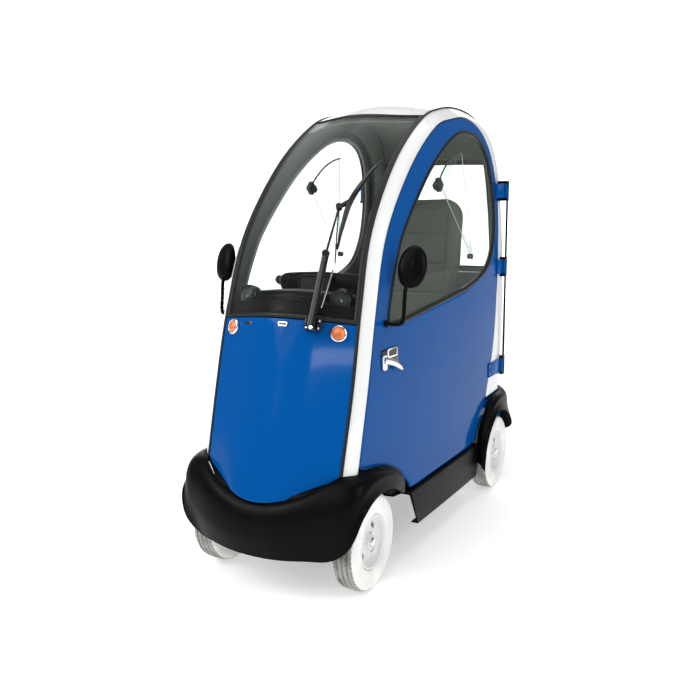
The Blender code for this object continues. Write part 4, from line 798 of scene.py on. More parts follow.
def rear_body():
    """Rear panel, both quarter panels and the band that joins them at the foot."""
    skin_panel("rear_panel_shell", at(REAR_WINDOW_FOOT + PANEL_JOINT), at(REAR_PANEL_FOOT),
               10, 15, ("blue", "liner"), PANEL_THICKNESS, SKIN_EDGE, "rear_panel")
    front = [Vector(p) for p in reversed(DOOR_FOOT[:5])] + [Vector((0.530, 0.440))]
    edge = []
    for i, here in enumerate(front[:-1]):
        along = (front[i + 1] - front[max(i - 1, 0)]).normalized()
        edge.append(here + Vector((along.y, -along.x)) * (FIT + 0.003))
    edge += [Vector((0.715, 0.430)), Vector((0.745, 0.390)), Vector((0.770, 0.300))]
    edge = smooth_path(edge, 6)
    arch = [Vector(p) for p in arc((AXLE_Y, WHEEL_RADIUS), 0.190, 150.0, 25.0, len(edge))]
    plan = [Vector((0.3505, 0.690)), Vector((0.3490, 0.725)), Vector((0.336, 0.742))]
    for u in span(1.0, -1.0, 17):
        foot = skin(REAR_PANEL_FOOT, u * 0.99)
        plan.append(Vector((foot.x, foot.y - 0.001)))
    plan += [Vector((-p.x, p.y)) for p in reversed(plan[:3])]
    bm = bmesh.new()
    sections = []
    for p in smooth_path(plan, 3):
        inner = p * (1.0 - 0.004 / p.length)
        sections.append([Vector((p.x, p.y, 0.385)), Vector((p.x, p.y, 0.436)),
                         Vector((inner.x, inner.y, 0.436)), Vector((inner.x, inner.y, 0.385))])
    loft(bm, sections)
    piece("rear_foot_band", bm, "chassis", "blue")
    for word, side in SIDES:
        grids = []
        for depth in (0.008, 0.012):
            rows = []
            for a, b in zip(edge, arch):
                row = [a.lerp(b, f) for f in edged(0.0, 1.0, 5, 0.02)]
                rows.append([on_side(p, depth, side) for p in row])
            grids.append(rows)
        bm = bmesh.new()
        grid_shell(bm, grids[0], grids[1])
        piece("quarter_panel_" + word, bm, "chassis", "blue", level=1)


def hoop_section(t):
    """Corner points of the left hoop's cross section; hoops() rounds them and gives each face its
    finish.
    """
    edge = spline(HOOP_EDGE, t)
    crest = spline(HOOP_CREST, t)
    reach = crest - edge
    width = band(t)
    shoulder = edge + reach * max(0.10, 1.0 - width / max(reach.length, width))
    jamb = edge - outward(HOOP_EDGE, t) * 0.020
    root = crest - outward(HOOP_CREST, t) * HOOP_DEPTH
    x_jamb = side_x(jamb.x, jamb.y) - DOOR_THICKNESS - 0.006
    corners = [
        Vector((side_x(edge.x, edge.y), edge.x, edge.y)),
        Vector((side_x(shoulder.x, shoulder.y), shoulder.x, shoulder.y)),
        Vector((side_x(crest.x, crest.y) - width, crest.x, crest.y)),
        Vector((side_x(root.x, root.y) - width, root.x, root.y)),
        Vector((x_jamb - 0.022, jamb.x, jamb.y)),
        Vector((x_jamb, jamb.x, jamb.y)),
        Vector((side_x(edge.x, edge.y) - DOOR_THICKNESS - 0.006, edge.x, edge.y))]
    return corners


def round_corners(corners, radii, steps):
    """Rounded loop whose corners have their own radii."""
    result = []
    count = len(corners)
    for i, here in enumerate(corners):
        back = corners[i - 1] - here
        ahead = corners[(i + 1) % count] - here
        a = here + back.normalized() * min(radii[i], back.length * 0.48)
        b = here + ahead.normalized() * min(radii[i], ahead.length * 0.48)
        for f in span(0.0, 1.0, steps):
            result.append(a * (1.0 - f) ** 2 + here * (2.0 * f * (1.0 - f)) + b * f * f)
    return result


def hoops():
    steps = 5
    radii = [0.0025, 0.016, 0.004, 0.002, 0.002, 0.002, 0.002]
    painted = 2 * steps + steps // 2
    last = len(HOOP_EDGE) - 1
    stations = span(0.0, last, 121)
    sections = [round_corners(hoop_section(t), radii, steps) for t in stations]
    size = len(sections[0])
    finishes = [0 if j < painted or j >= size - 1 else 1 for j in range(size)]
    for word, side in SIDES:
        bm = bmesh.new()
        loft(bm, [sided(section, side) for section in sections], finishes=finishes)
        piece("hoop_" + word, bm, "chassis", ("white", "liner"), ("body_hoop_" + word,),
              angle=50.0)
        crest_seal(word, side, span(0.0, last, 121))
        door_seal(word, side, span(0.15, last - 0.1, 121))


def crest_seal(word, side, stations):
    """Rubber bead that fills the joint between a hoop and the skins."""
    bm = bmesh.new()
    path = []
    normals = []
    for t in stations:
        path.append(skin(t, side * 0.999, 0.0006))
        normals.append(skin_normal(t, side * 0.98))
    section = ellipse(0.0055, 0.0028, 12, 0.0004)
    sweep(bm, path, section, normals)
    piece("hoop_bead_" + word, bm, "chassis", "rubber", angle=60.0)


def door_seal(word, side, stations):
    """Weatherstrip in the door jamb, behind the edge of the door."""
    bm = bmesh.new()
    path = []
    normals = []
    for t in stations:
        edge = spline(HOOP_EDGE, t)
        inward = edge - outward(HOOP_EDGE, t) * 0.0065
        path.append(on_side(inward, DOOR_THICKNESS + 0.0042, side))
        normals.append(Vector((side, 0.0, 0.0)))
    sweep(bm, path, ellipse(0.0085, 0.0030, 10), normals)
    bead = []
    for t in stations:
        middle = spline(HOOP_EDGE, t) - outward(HOOP_EDGE, t) * FIT / 2.0
        bead.append(on_side(middle, 0.0058, side))
    sweep(bm, bead, ellipse(0.0018, 0.0030, 8), normals)
    piece("door_weatherstrip_" + word, bm, "chassis", "rubber", angle=60.0)


# ---------------------------------------------------------------- bumpers and sills
def moulding_point(stations, s, v):
    """Point on a bumper: s counts stations from the centre, v runs from the top edge to the lip."""
    mirror = -1.0 if s < 0.0 else 1.0
    s = abs(s)
    ring = []
    for k in range(3):
        track = [(station[k][0] * BUMPER_WIDTH, *station[k][1:]) for station in stations]
        folded = [(-track[1][0], track[1][1], track[1][2])] + track
        ring.append(spline(folded, s + 1.0))
    top, widest, lip = ring
    side = min(v * 2.0, 1.0)
    lower = max(v * 2.0 - 1.0, 0.0)
    if v <= 0.5:
        # the upper half leaves the body outward and turns down into the face
        swing = side * math.pi / 2.0
        outwards = math.sin(swing)
        down = 1.0 - math.cos(swing)
        point = Vector((
            top.x + (widest.x - top.x) * outwards,
            top.y + (widest.y - top.y) * outwards,
            top.z + (widest.z - top.z) * down))
    else:
        # the lower half tucks in to the lip
        point = widest.lerp(lip, lower)
        tuck = 1.0 - (1.0 - lower) ** 2
        point.x = widest.x + (lip.x - widest.x) * tuck * lower
        point.y = widest.y + (lip.y - widest.y) * tuck * lower
    return Vector((mirror * point.x, point.y, point.z))


def moulding(name, stations, per_station, rows, node):
    last = len(stations) - 1
    outer = []
    inner = []
    step = 0.01
    for s in edged(-last, last, per_station * last * 2 + 1, 0.002):
        outer_row = []
        inner_row = []
        for v in edged(0.0, 1.0, rows, 0.015):
            here = moulding_point(stations, s, v)
            down = (moulding_point(stations, s, min(v + step, 1.0))
                    - moulding_point(stations, s, max(v - step, 0.0)))
            along = (moulding_point(stations, min(s + step, last), v)
                     - moulding_point(stations, max(s - step, -last), v))
            normal = along.cross(down).normalized()
            if normal.dot(Vector((here.x, here.y, 0.0))) < 0.0:
                normal.negate()
            outer_row.append(here)
            inner_row.append(here - normal * MOULDING_THICKNESS)
        outer.append(outer_row)
        inner.append(inner_row)
    bm = bmesh.new()
    grid_shell(bm, outer, inner)
    piece(name, bm, "chassis", "plastic", (node,), level=1)


def cowl_foot_seal():
    """Black filler between the foot of the cowl and the front bumper's top edge."""
    outer = []
    inner = []
    reach = 5.0
    for k in edged(-1.0, 1.0, 33, 0.01):
        u = k * 0.97
        under = skin(cowl_foot(u) + 0.05, u, -0.006)
        rim = moulding_point(FRONT_BUMPER, k * reach, 0.0) + Vector((0.0, 0.003, -0.004))
        outer.append([under, under.lerp(rim, 0.5), rim])
        inner.append([p + Vector((0.0, 0.004, 0.0)) for p in outer[-1]])
    bm = bmesh.new()
    grid_shell(bm, outer, inner)
    piece("cowl_foot_seal", bm, "chassis", "plastic")


def sill_section(y_top, y_low):
    x_top = side_x(y_top, 0.3) + 0.012
    x_low = side_x(y_low, 0.3) + 0.006
    return [
        Vector((x_top - 0.004, y_top, SILL_TOP)),
        Vector((x_top, y_top + 0.004, SILL_TOP - 0.006)),
        Vector((x_low, y_low, SILL_BOTTOM)),
        Vector((x_low - 0.030, y_low, SILL_BOTTOM)),
        Vector((x_low - 0.030, y_low, SILL_BOTTOM + 0.005)),
        Vector((x_low - 0.006, y_low, SILL_BOTTOM + 0.006)),
        Vector((x_top - 0.006, y_top, FLOOR_Z - 0.001)),
        Vector((x_top - 0.045, y_top, FLOOR_Z - 0.001)),
        Vector((x_top - 0.045, y_top, SILL_TOP))]


def floor():
    """Floor moulding with a ribbed mat, and a sill board under each door."""
    half = 0.300
    neck = 0.150
    slot = 0.032
    outline = [(-neck, -0.650), (neck, -0.650), (neck, -0.365), (0.280, -0.345),
               (0.298, -0.280), (half, 0.385), (slot, 0.385), (slot, 0.160),
               (-slot, 0.160), (-slot, 0.385), (-half, 0.385), (-0.298, -0.280),
               (-0.280, -0.345), (-neck, -0.365)]
    bm = bmesh.new()
    loft(bm, [[Vector((x, y, z)) for x, y in outline] for z in (FLOOR_Z, FLOOR_Z + 0.005)])
    piece("floor_pan", bm, "chassis", "plastic", ("floor_tub",))
    for word, side in SIDES:
        tops = [(-0.300, -0.222), (-0.296, -0.218), (-0.200, -0.141), (-0.100, -0.060),
                (0.025, 0.045), (0.150, 0.150), (0.270, 0.270), (0.388, 0.388), (0.392, 0.392)]
        bm = bmesh.new()
        loft(bm, [sided(rounded_loop(sill_section(a, b), 0.004, 4), side) for a, b in tops])
        piece("sill_board_" + word, bm, "chassis", "plastic", angle=40.0)
    bm = bmesh.new()
    top = FLOOR_Z + 0.0052
    box(bm, (0.0, MAT_CENTRE_Y, top + 0.0015), (0.540, 0.300, 0.003), bevel=0.001, segments=2)
    for k in range(MAT_RIBS):
        x = MAT_RIB_PITCH * (k - 10)
        box(bm, (x, MAT_CENTRE_Y, top + 0.0042), (0.010, 0.276, 0.0028), bevel=0.0009, segments=1)
    piece("floor_mat", bm, "chassis", "mat")


# ---------------------------------------------------------------- doors
def ray_hit(outline, centre, angle):
    """Point where the ray from the centre at the angle crosses the closed outline."""
    direction = Vector((math.cos(angle), math.sin(angle)))
    best = None
    count = len(outline)
    for i in range(count):
        a = Vector(outline[i]) - Vector(centre)
        b = Vector(outline[(i + 1) % count]) - Vector(centre)
        edge = b - a
        denominator = direction.x * edge.y - direction.y * edge.x
        if abs(denominator) < 1e-12:
            continue
        reach = (a.x * edge.y - a.y * edge.x) / denominator
        along = (a.x * direction.y - a.y * direction.x) / denominator
        if reach > 0.0 and -1e-9 <= along <= 1.0 + 1e-9:
            if best is None or reach > best:
                best = reach
    return Vector(centre) + direction * best


def door_outline():
    """Door edge, (y, z): along the hoop with a panel gap, then the foot of the door."""
    last = len(HOOP_EDGE) - 1
    points = []
    for t in span(0.02, last, 100):
        points.append(tuple(spline(HOOP_EDGE, t) - outward(HOOP_EDGE, t) * FIT))
    return points + [tuple(p) for p in smooth_path(DOOR_FOOT, 4)]


def window_outline(inset, count=90):
    """Window opening as a closed smooth outline, moved inward by the inset."""
    closed = [WINDOW[-1]] + WINDOW + WINDOW[:2]
    points = []
    for t in span(1.0, len(WINDOW) + 1.0, count + 1)[:-1]:
        here = spline(closed, t)
        tangent = (spline(closed, t + 0.02) - spline(closed, t - 0.02)).normalized()
        points.append(tuple(here + Vector((tangent.y, -tangent.x)) * inset))
    return points


def door_rings():
    """Rows from the window opening out to the door edge, as (y, z) points."""
    centre = Vector(WINDOW_CENTRE)
    outline = door_outline()
    opening = window_outline(0.0, 120)
    angles = sorted(math.atan2(p[1] - centre.y, p[0] - centre.x) for p in outline)
    rows = []
    for angle in angles:
        near = ray_hit(opening, centre, angle)
        far = ray_hit(outline, centre, angle)
        reach = max((far - near).length, 0.001)
        hold = min(0.003 / reach, 0.2)
        rows.append([near.lerp(far, f) for f in edged(0.0, 1.0, 9, hold)])
    return rows


def door_skin(word, side, rows):
    body = "door_" + word
    outer = [[on_side(p, 0.0, side) for p in row] for row in rows]
    inner = [[on_side(p, DOOR_THICKNESS, side) for p in row] for row in rows]
    bm = bmesh.new()
    grid_shell(bm, outer, inner, closed_rows=True, inner_finish=1)
    piece("door_shell_" + word, bm, body, ("blue", "liner"), ("door_" + word,), level=1)


def hinge_leaves(word, side):
    """Three blue hinge leaves with their barrels, each standing over the hoop."""
    bm = bmesh.new()
    for height in HINGE_HEIGHTS:
        best = min(span(10.0, 15.0, 60), key=lambda t: abs(spline(HOOP_EDGE, t).y - height))
        tail = spline(HOOP_EDGE, best).x - 0.030
        edge = tail + 0.030
        low = height - HINGE_LEAF_HEIGHT / 2.0
        high = height + HINGE_LEAF_HEIGHT / 2.0
        root = HINGE_AXIS_Y - HINGE_BARREL_RADIUS * 0.4
        near = max(side_x(root, low) + 0.0025, HINGE_AXIS_X - HINGE_BARREL_RADIUS)
        plate = 0.0055
        sections = []
        for z in (low, low + 0.002, high - 0.002, high):
            grow = 0.0 if z in (low, high) else 0.0008
            sections.append([
                Vector((side * near, root, z)),
                Vector((side * (side_x(edge, low) + 0.0025), edge, z)),
                Vector((side * (side_x(tail, high) - 0.0020), tail, z)),
                Vector((side * (side_x(tail, low) + plate - 0.0015), tail - grow, z)),
                Vector((side * (side_x(tail, low) + plate + grow), tail + 0.004, z)),
                Vector((side * (near + plate + grow), root - 0.002, z)),
                Vector((side * (near + plate - 0.001), root + 0.003, z))])
        loft(bm, sections)
        profile = [(0.0, 0.0), (HINGE_BARREL_RADIUS - 0.0008, 0.0), (HINGE_BARREL_RADIUS, 0.0008),
                   (HINGE_BARREL_RADIUS, HINGE_LEAF_HEIGHT - 0.0008),
                   (HINGE_BARREL_RADIUS - 0.0008, HINGE_LEAF_HEIGHT), (0.0, HINGE_LEAF_HEIGHT)]
        turned(bm, profile, (side * HINGE_AXIS_X, HINGE_AXIS_Y, low), (0.0, 0.0, 1.0), 24)
        for dz in (-0.018, 0.018):
            screw = tail + 0.011
            start = on_side((screw, height + dz), -plate + 0.001, side)
            rod(bm, start, start + Vector((side * 0.0020, 0.0, 0.0)), 0.0045, 16, 0.0006, 1)
    piece("hinge_leaves_" + word, bm, "door_" + word, ("blue", "steel"), angle=35.0)


def window_gasket(word, side):
    """Rubber moulding round the side glass."""
    outline = window_outline(0.0)
    count = len(outline)
    profile = [(-0.002, 0.000), (-0.002, -0.0030), (0.0015, -0.0048), (0.006, -0.0050),
               (0.011, -0.0030), (SEAL_WIDTH, -0.0008), (SEAL_WIDTH, DOOR_THICKNESS + 0.001),
               (0.010, DOOR_THICKNESS + 0.003), (0.002, DOOR_THICKNESS + 0.003),
               (-0.002, DOOR_THICKNESS + 0.001)]
    sections = []
    rings = [window_outline(inset) for inset, _ in profile]
    for k in range(count):
        sections.append([on_side(rings[j][k], depth, side)
                         for j, (_, depth) in enumerate(profile)])
    cabin_side = [1 if depth > DOOR_THICKNESS else 0 for _, depth in profile]
    bm = bmesh.new()
    loft(bm, sections, closed=True, finishes=cabin_side)
    piece("window_gasket_" + word, bm, "door_" + word, ("rubber", "trim"),
          ("window_seal_" + word,), angle=50.0)


def vent_sector(grow, count=25):
    """Outline of the swing pane, (y, z): a slice with its blunt point at the pivot."""
    middle = math.radians((VENT_START + VENT_END) / 2.0)
    along = Vector((math.cos(middle), math.sin(middle)))
    across = Vector((-along.y, along.x)) * (0.014 + 0.6 * grow)
    point = Vector(VENT_PIVOT) - along * (0.012 + 2.6 * grow)
    turn = grow / VENT_RADIUS * 0.7
    rim = arc(VENT_PIVOT, VENT_RADIUS + grow, VENT_START - math.degrees(turn),
              VENT_END + math.degrees(turn), count)
    return [tuple(point - across)] + rim + [tuple(point + across)]


def side_glass(word, side):
    """Side glass, open where the swing pane covers it."""
    outline = window_outline(SEAL_WIDTH + 0.0004)
    centre = Vector(WINDOW_CENTRE)
    fractions = (0.12, 0.25, 0.38, 0.50, 0.62, 0.74, 0.86, 0.95, 1.0)
    count = len(outline)
    bm = bmesh.new()
    layers = []
    for depth in (0.002, 0.002 + GLASS_THICKNESS):
        hub = bm.verts.new(on_side(centre, depth, side))
        rings = []
        for f in fractions:
            rings.append([bm.verts.new(on_side(centre.lerp(Vector(p), f), depth, side))
                          for p in outline])
        for k in range(count):
            n = (k + 1) % count
            bm.faces.new((hub, rings[0][k], rings[0][n]))
            for a, b in zip(rings[:-1], rings[1:]):
                bm.faces.new((a[k], b[k], b[n], a[n]))
        layers.append(rings[-1])
    for k in range(count):
        n = (k + 1) % count
        bm.faces.new((layers[0][k], layers[0][n], layers[1][n], layers[1][k]))
    pane = piece("side_glass_" + word, bm, "door_" + word, "tint", ("door_glass_" + word,))
    cutter = bmesh.new()
    hole = vent_sector(-0.018)
    loft(cutter, [[Vector((side * x, y, z)) for y, z in hole] for x in (0.250, 0.400)])
    carve(pane, [cutter])


def vent_frame(side):
    """Place of the swing pane: origin on its pivot, +Z along its pin, outward."""
    pivot = on_side(VENT_PIVOT, 0.0, side)
    up = on_side((VENT_PIVOT[0], VENT_PIVOT[1] + VENT_RADIUS), 0.0, side) - pivot
    back = on_side((VENT_PIVOT[0] - VENT_RADIUS * 0.7, VENT_PIVOT[1] + VENT_RADIUS * 0.7),
                   0.0, side) - pivot
    normal = up.cross(back).normalized() * side
    z_axis = (up - normal * up.dot(normal)).normalized()
    y_axis = z_axis.cross(normal) * side
    turn = Matrix((normal, y_axis, z_axis)).transposed()
    return Matrix.Translation(pivot) @ turn.to_4x4()


def vent(word, side):
    """Swing pane with its curved rim, pivot boss and latch, and white tubes on its straight edges
    as painted highlights.
    """
    body = "vent_pane_" + word
    place = vent_frame(side)
    outline = [(y - VENT_PIVOT[0], z - VENT_PIVOT[1]) for y, z in vent_sector(0.0)]

    def spot(p, out):
        return place @ Vector((out, p[0], p[1]))

    bm = bmesh.new()
    loft(bm, [[spot(p, -0.014) for p in outline], [spot(p, -0.018) for p in outline]])
    piece("vent_glass_" + word, bm, body, "tint", ("vent_pane_" + word,))
    bm = bmesh.new()
    rim = outline[1:-1]
    tube(bm, [spot(p, -0.0205) for p in rim], 0.0034, 12)
    corner = Vector(rim[-1])
    inward = -corner.normalized()
    tangent = Vector((-corner.normalized().y, corner.normalized().x))
    clip = corner + inward * 0.006 + tangent * 0.004
    turn = place.to_3x3() @ Matrix.Rotation(math.radians(VENT_END - 90.0), 3, "X")
    box(bm, spot(clip, -0.0205), (0.022, 0.040, 0.042), turn, 0.004)
    box(bm, spot(clip + inward * 0.004, -0.036), (0.014, 0.022, 0.026), turn, 0.003)
    boss = Vector((0.0, 0.004))
    rod(bm, spot(boss, -0.012), spot(boss, -0.034), 0.011, 20, 0.002)
    piece("vent_latch_" + word, bm, body, "gloss", angle=40.0)
    # White tubes along the pane's two straight edges: painted highlights that stand in for light
    # caught on the glass edges.
    bm = bmesh.new()
    for p in (rim[0], rim[-1]):
        start = Vector(p) * 0.06
        tube(bm, [spot(start, -0.0160), spot(Vector(p) * 0.99, -0.0160)], 0.0015, 8)
    piece("vent_edge_painted_highlights_" + word, bm, body, "white")


def handle(word, side):
    """Escutcheon with a recess on the door, and the chrome pull lever."""
    door = "door_" + word
    front_y = HANDLE_Y - 0.070

    def place(y, z, out):
        return on_side((y, z), 0.0, side) + side_normal(y, z, side) * out

    def plate(bm, centre_y, centre_z, half_y, half_z, low, high, turn=0.0, corner=0.006):
        """Rounded plate that follows the door skin."""
        corners = [Vector((-half_y, -half_z)), Vector((half_y, -half_z)),
                   Vector((half_y, half_z)), Vector((-half_y, half_z))]
        spin = Matrix.Rotation(math.radians(turn), 2)
        flat = [spin @ p for p in rounded_loop(corners, corner, 6)]
        layers = []
        for out, shrink in ((low, 1.0), (high - 0.0012, 1.0), (high, 0.94)):
            layers.append([place(centre_y + p.x * shrink, centre_z + p.y * shrink, out)
                           for p in flat])
        loft(bm, layers)

    bm = bmesh.new()
    plate(bm, HANDLE_Y - 0.004, HANDLE_Z + 0.010, 0.060, 0.030, -0.001, 0.0030)
    plate(bm, HANDLE_Y + 0.006, HANDLE_Z + 0.024, 0.028, 0.010, 0.0030, 0.0085, 0.0, 0.005)
    piece("handle_recess_" + word, bm, door, "gloss", angle=35.0)
    bm = bmesh.new()
    plate(bm, front_y + 0.016, HANDLE_Z - 0.002, 0.012, 0.026, 0.0032, 0.012)
    plate(bm, HANDLE_Y + 0.006, HANDLE_Z + 0.024, 0.036, 0.016, 0.0032, 0.0075)
    piece("handle_escutcheon_" + word, bm, door, "chrome", angle=35.0)
    bm = bmesh.new()
    sections = []
    stations = ((0.000, 0.010, 0.006, 0.013), (0.020, 0.012, 0.004, 0.016),
                (0.060, 0.011, -0.010, 0.021), (0.100, 0.009, -0.030, 0.020),
                (0.118, 0.005, -0.040, 0.017))
    for t in span(0.0, len(stations) - 1, 21):
        along, half, drop, out = spline(stations, t)
        y = front_y + along + 0.006
        z = HANDLE_Z + drop
        loop = []
        for k in range(12):
            angle = 2.0 * math.pi * k / 12
            loop.append(place(y, z + half * math.cos(angle), out + 0.0042 * math.sin(angle)))
        sections.append(loop)
    loft(bm, sections)
    piece("handle_lever_" + word, bm, "door_handle_" + word, "chrome",
          ("door_handle_" + word,), angle=60.0)


def mirror(word, side):
    """Leaf-shaped mirror head on a bent stalk with a ribbed boot."""
    body = "mirror_" + word
    y, z = MIRROR_FOOT
    foot = Vector((side_x(y, z) + 0.0030, y, z))
    wrist = foot + Vector((0.062, 0.020, 0.115))
    centre = foot + Vector((0.071, 0.058, 0.186))
    bm = bmesh.new()
    rod(bm, sided([foot - Vector((0.001, 0.0, 0.0))], side)[0],
        sided([foot + Vector((0.0095, 0.0, 0.0))], side)[0], 0.013, 24, 0.003)
    piece("mirror_foot_boss_" + word, bm, "door_" + word, "plastic")
    bm = bmesh.new()
    path = smooth_path([foot + Vector((0.0105, 0.0, 0.0)), foot + Vector((0.046, 0.003, 0.000)),
                        foot + Vector((0.060, 0.006, 0.014)),
                        foot + Vector((0.061, 0.013, 0.065)), wrist,
                        wrist.lerp(centre, 0.5)], 6)
    scale = []
    for k in range(len(path)):
        f = k / (len(path) - 1)
        rib = 0.10 * math.sin(k * math.pi) if f < 0.4 else 0.0
        scale.append(1.0 + rib + (0.35 * (f - 0.5) if f > 0.5 else 0.0))
    sweep(bm, sided(path, side), ellipse(0.0062, 0.0062, 14), scale=scale)
    for k in range(7):
        ring = path[9 + 2 * k]
        ahead = path[10 + 2 * k]
        base, top = sided([ring, ahead], side)
        turned(bm, [(0.0, -0.002), (0.0072, -0.002), (0.0088, 0.0), (0.0072, 0.002), (0.0, 0.002)],
               base, top - base, 18)
    across = Vector((0.93, 0.37, 0.0))
    backward = Vector((-0.37, 0.93, 0.0))
    up = Vector((0.0, 0.25, 1.0))

    def leaf(grow, depth, count=40):
        loop = []
        for k in range(count):
            angle = 2.0 * math.pi * k / count
            taper = 1.0 - 0.20 * math.sin(angle + math.pi) ** 3 * (math.sin(angle) < 0.0)
            wide = MIRROR_HALF_WIDTH * grow * math.cos(angle) * (2.0 - taper)
            high = MIRROR_HALF_HEIGHT * grow * math.sin(angle)
            loop.append(centre + across * wide + up * high + backward * depth)
        return sided(loop, side)

    shell = [leaf(grow, depth) for depth, grow in (
        (-0.0240, 0.22), (-0.0232, 0.42), (-0.0205, 0.66), (-0.0155, 0.85), (-0.0080, 0.965),
        (0.0000, 1.0), (0.0060, 1.0), (0.0085, 0.975), (0.0075, 0.93), (0.0040, 0.92))]
    loft(bm, shell)
    ridge = []
    for f in span(-1.0, 1.0, 15):
        bulge = max(1.0 - f * f, 0.02)
        middle = centre + up * (0.034 * f + 0.004) - backward * (0.0195 + 0.0030 * bulge)
        ridge.append([middle + across * (0.0060 * bulge * math.cos(a))
                      - backward * (0.0045 * bulge * math.sin(a))
                      for a in span(0.0, 2.0 * math.pi, 13)[:-1]])
    loft(bm, [sided(loop, side) for loop in ridge])
    piece("mirror_shell_" + word, bm, body, "plastic", ("mirror_" + word,), angle=50.0)
    bm = bmesh.new()
    loft(bm, [leaf(0.915, 0.0042), leaf(0.915, 0.0060), leaf(0.90, 0.0066)])
    piece("mirror_face_" + word, bm, body, "mirror", angle=40.0)


def doors():
    rows = door_rings()
    for word, side in SIDES:
        door_skin(word, side, rows)
        hinge_leaves(word, side)
        window_gasket(word, side)
        side_glass(word, side)
        vent(word, side)
        handle(word, side)
        mirror(word, side)


# ---------------------------------------------------------------- wheels
def tyre(name, centre, body, node):
    """Tyre with three zig-zag grooves round the tread and a stepped sidewall."""
    w = TYRE_HALF_WIDTH
    r = WHEEL_RADIUS
    segments = 216
    zigs = 54
    wall = [(-0.72, RIM_RADIUS), (-0.86, RIM_RADIUS + 0.003), (-0.95, 0.103), (-0.985, 0.112),
            (-1.0, 0.125), (-0.992, 0.137), (-0.965, 0.147), (-0.945, 0.149), (-0.90, 0.155)]
    tread = [(x, r - 0.0078 * abs(x / 0.78) ** 3.2 * 0.5) for x in span(-0.80, 0.80, 49)]
    inner = [(0.72, RIM_RADIUS), (0.3, RIM_RADIUS + 0.002), (-0.3, RIM_RADIUS + 0.002)]
    profile = wall + tread + [(-x, radius) for x, radius in reversed(wall[1:])] + inner
    first = len(wall)
    last = first + len(tread)
    bm = bmesh.new()
    sections = []
    for k in range(segments):
        angle = 2.0 * math.pi * k / segments
        phase = (k * zigs / segments) % 1.0
        zig = abs(phase - 0.5) * 4.0 - 1.0
        loop = []
        for j, (x, radius) in enumerate(profile):
            if first <= j < last:
                for groove in TREAD_GROOVES:
                    away = abs(x - groove - 0.045 * zig)
                    radius -= GROOVE_DEPTH * max(0.0, min(1.0, (0.072 - away) / 0.024))
                if abs(x) > 0.70:
                    radius -= 0.0030 * (phase < 0.3)
            loop.append(Vector((centre[0] + x * w, centre[1] + radius * math.sin(angle),
                                centre[2] - radius * math.cos(angle))))
        sections.append(loop)
    finishes = [1 if first <= j < last - 1 else 0 for j in range(len(profile))]
    loft(bm, sections, closed=True, finishes=finishes)
    piece(name, bm, body, ("tyre", "tread"), (node,), angle=40.0)


def rim(name, centre, side, body, node):
    """Two-piece rim: dished disc with vent holes, hub, centre cap and wheel nuts."""
    s = side
    outer = RIM_RADIUS - 0.0006
    profile = [(-0.034, outer), (-0.034, 0.083), (0.004, 0.0815), (0.006, 0.060), (0.008, 0.034),
               (-0.022, 0.028), (-0.022, STUB_RADIUS + 0.001), (0.028, STUB_RADIUS + 0.001),
               (0.030, 0.016), (0.030, 0.026), (0.020, 0.032), (0.016, 0.040), (0.013, 0.055),
               (0.013, 0.068), (0.018, 0.076), (0.026, 0.0805), (0.033, 0.083),
               (0.0355, 0.087), (0.034, outer)]
    axis = Vector((s, 0.0, 0.0))
    bm = bmesh.new()
    turned(bm, [(radius, x) for x, radius in profile], centre, axis, 96, closed=True)
    disc = piece(name, bm, body, "rim", (node,), angle=40.0)
    turn = axis_frame(axis)
    holes = []
    for k in range(RIM_VENTS):
        angle = math.radians(45.0 + 360.0 / RIM_VENTS * k)
        cutter = bmesh.new()
        loops = []
        for depth in (-0.010, 0.050):
            loop = []
            for step in span(0.0, 2.0 * math.pi, 25)[:-1]:
                reach = 0.058 + 0.0105 * math.sin(step)
                swing = angle + 0.30 * math.cos(step)
                loop.append(Vector(centre) + turn @ Vector((
                    reach * math.cos(swing), reach * math.sin(swing), depth)))
            loops.append(loop)
        loft(cutter, loops)
        holes.append(cutter)
    carve(disc, holes)
    bm = bmesh.new()
    base = Vector(centre)
    turned(bm, [(0.0, 0.0420), (0.008, 0.0415), (0.014, 0.0390), (0.0165, 0.0350),
                (0.0170, 0.0290), (0.0, 0.0290)], base, axis, 36)
    for k in range(4):
        angle = math.radians(90.0 * k)
        spot = base + turn @ Vector((0.0285 * math.cos(angle), 0.0285 * math.sin(angle), 0.016))
        turned(bm, [(0.0, 0.0), (0.0062, 0.0), (0.0062, 0.0090), (0.0045, 0.0105), (0.0, 0.0105)],
               spot, axis, 6)
        turned(bm, [(0.0, 0.010), (0.0030, 0.010), (0.0030, 0.0150), (0.0, 0.0155)], spot, axis, 12)
    piece(name + "_nuts", bm, body, "chrome", angle=30.0)


def wheels():
    for end, y, x in (("front", -AXLE_Y, FRONT_WHEEL_X), ("rear", AXLE_Y, REAR_WHEEL_X)):
        for word, side in SIDES:
            centre = (side * x, y, WHEEL_RADIUS)
            body = end + "_wheel_" + word
            tyre(end + "_tread_tyre_" + word, centre, body, end + "_tyre_" + word)
            rim(end + "_disc_rim_" + word, centre, side, body, end + "_rim_" + word)


# ---------------------------------------------------------------- lamps, dash and wiper
def lamp_place(t, u, lift):
    """Point over the skin and the skin's normal there."""
    return skin(t, u, lift), skin_normal(t, u)


def round_lamp(name, word, side, place, ring, dome, finish, node):
    """Chrome bezel round a domed lens, seated on the skin."""
    base, normal = lamp_place(place[0], side * place[1], LAMP_SEAT)
    bm = bmesh.new()
    turned(bm, ring, base, normal, LAMP_SEGMENTS, closed=True)
    piece(name + "_bezel_" + word, bm, "chassis", "chrome", angle=50.0)
    bm = bmesh.new()
    turned(bm, dome, base, normal, LAMP_SEGMENTS)
    piece(name + "_lens_" + word, bm, "chassis", finish, (node + word,), angle=60.0)


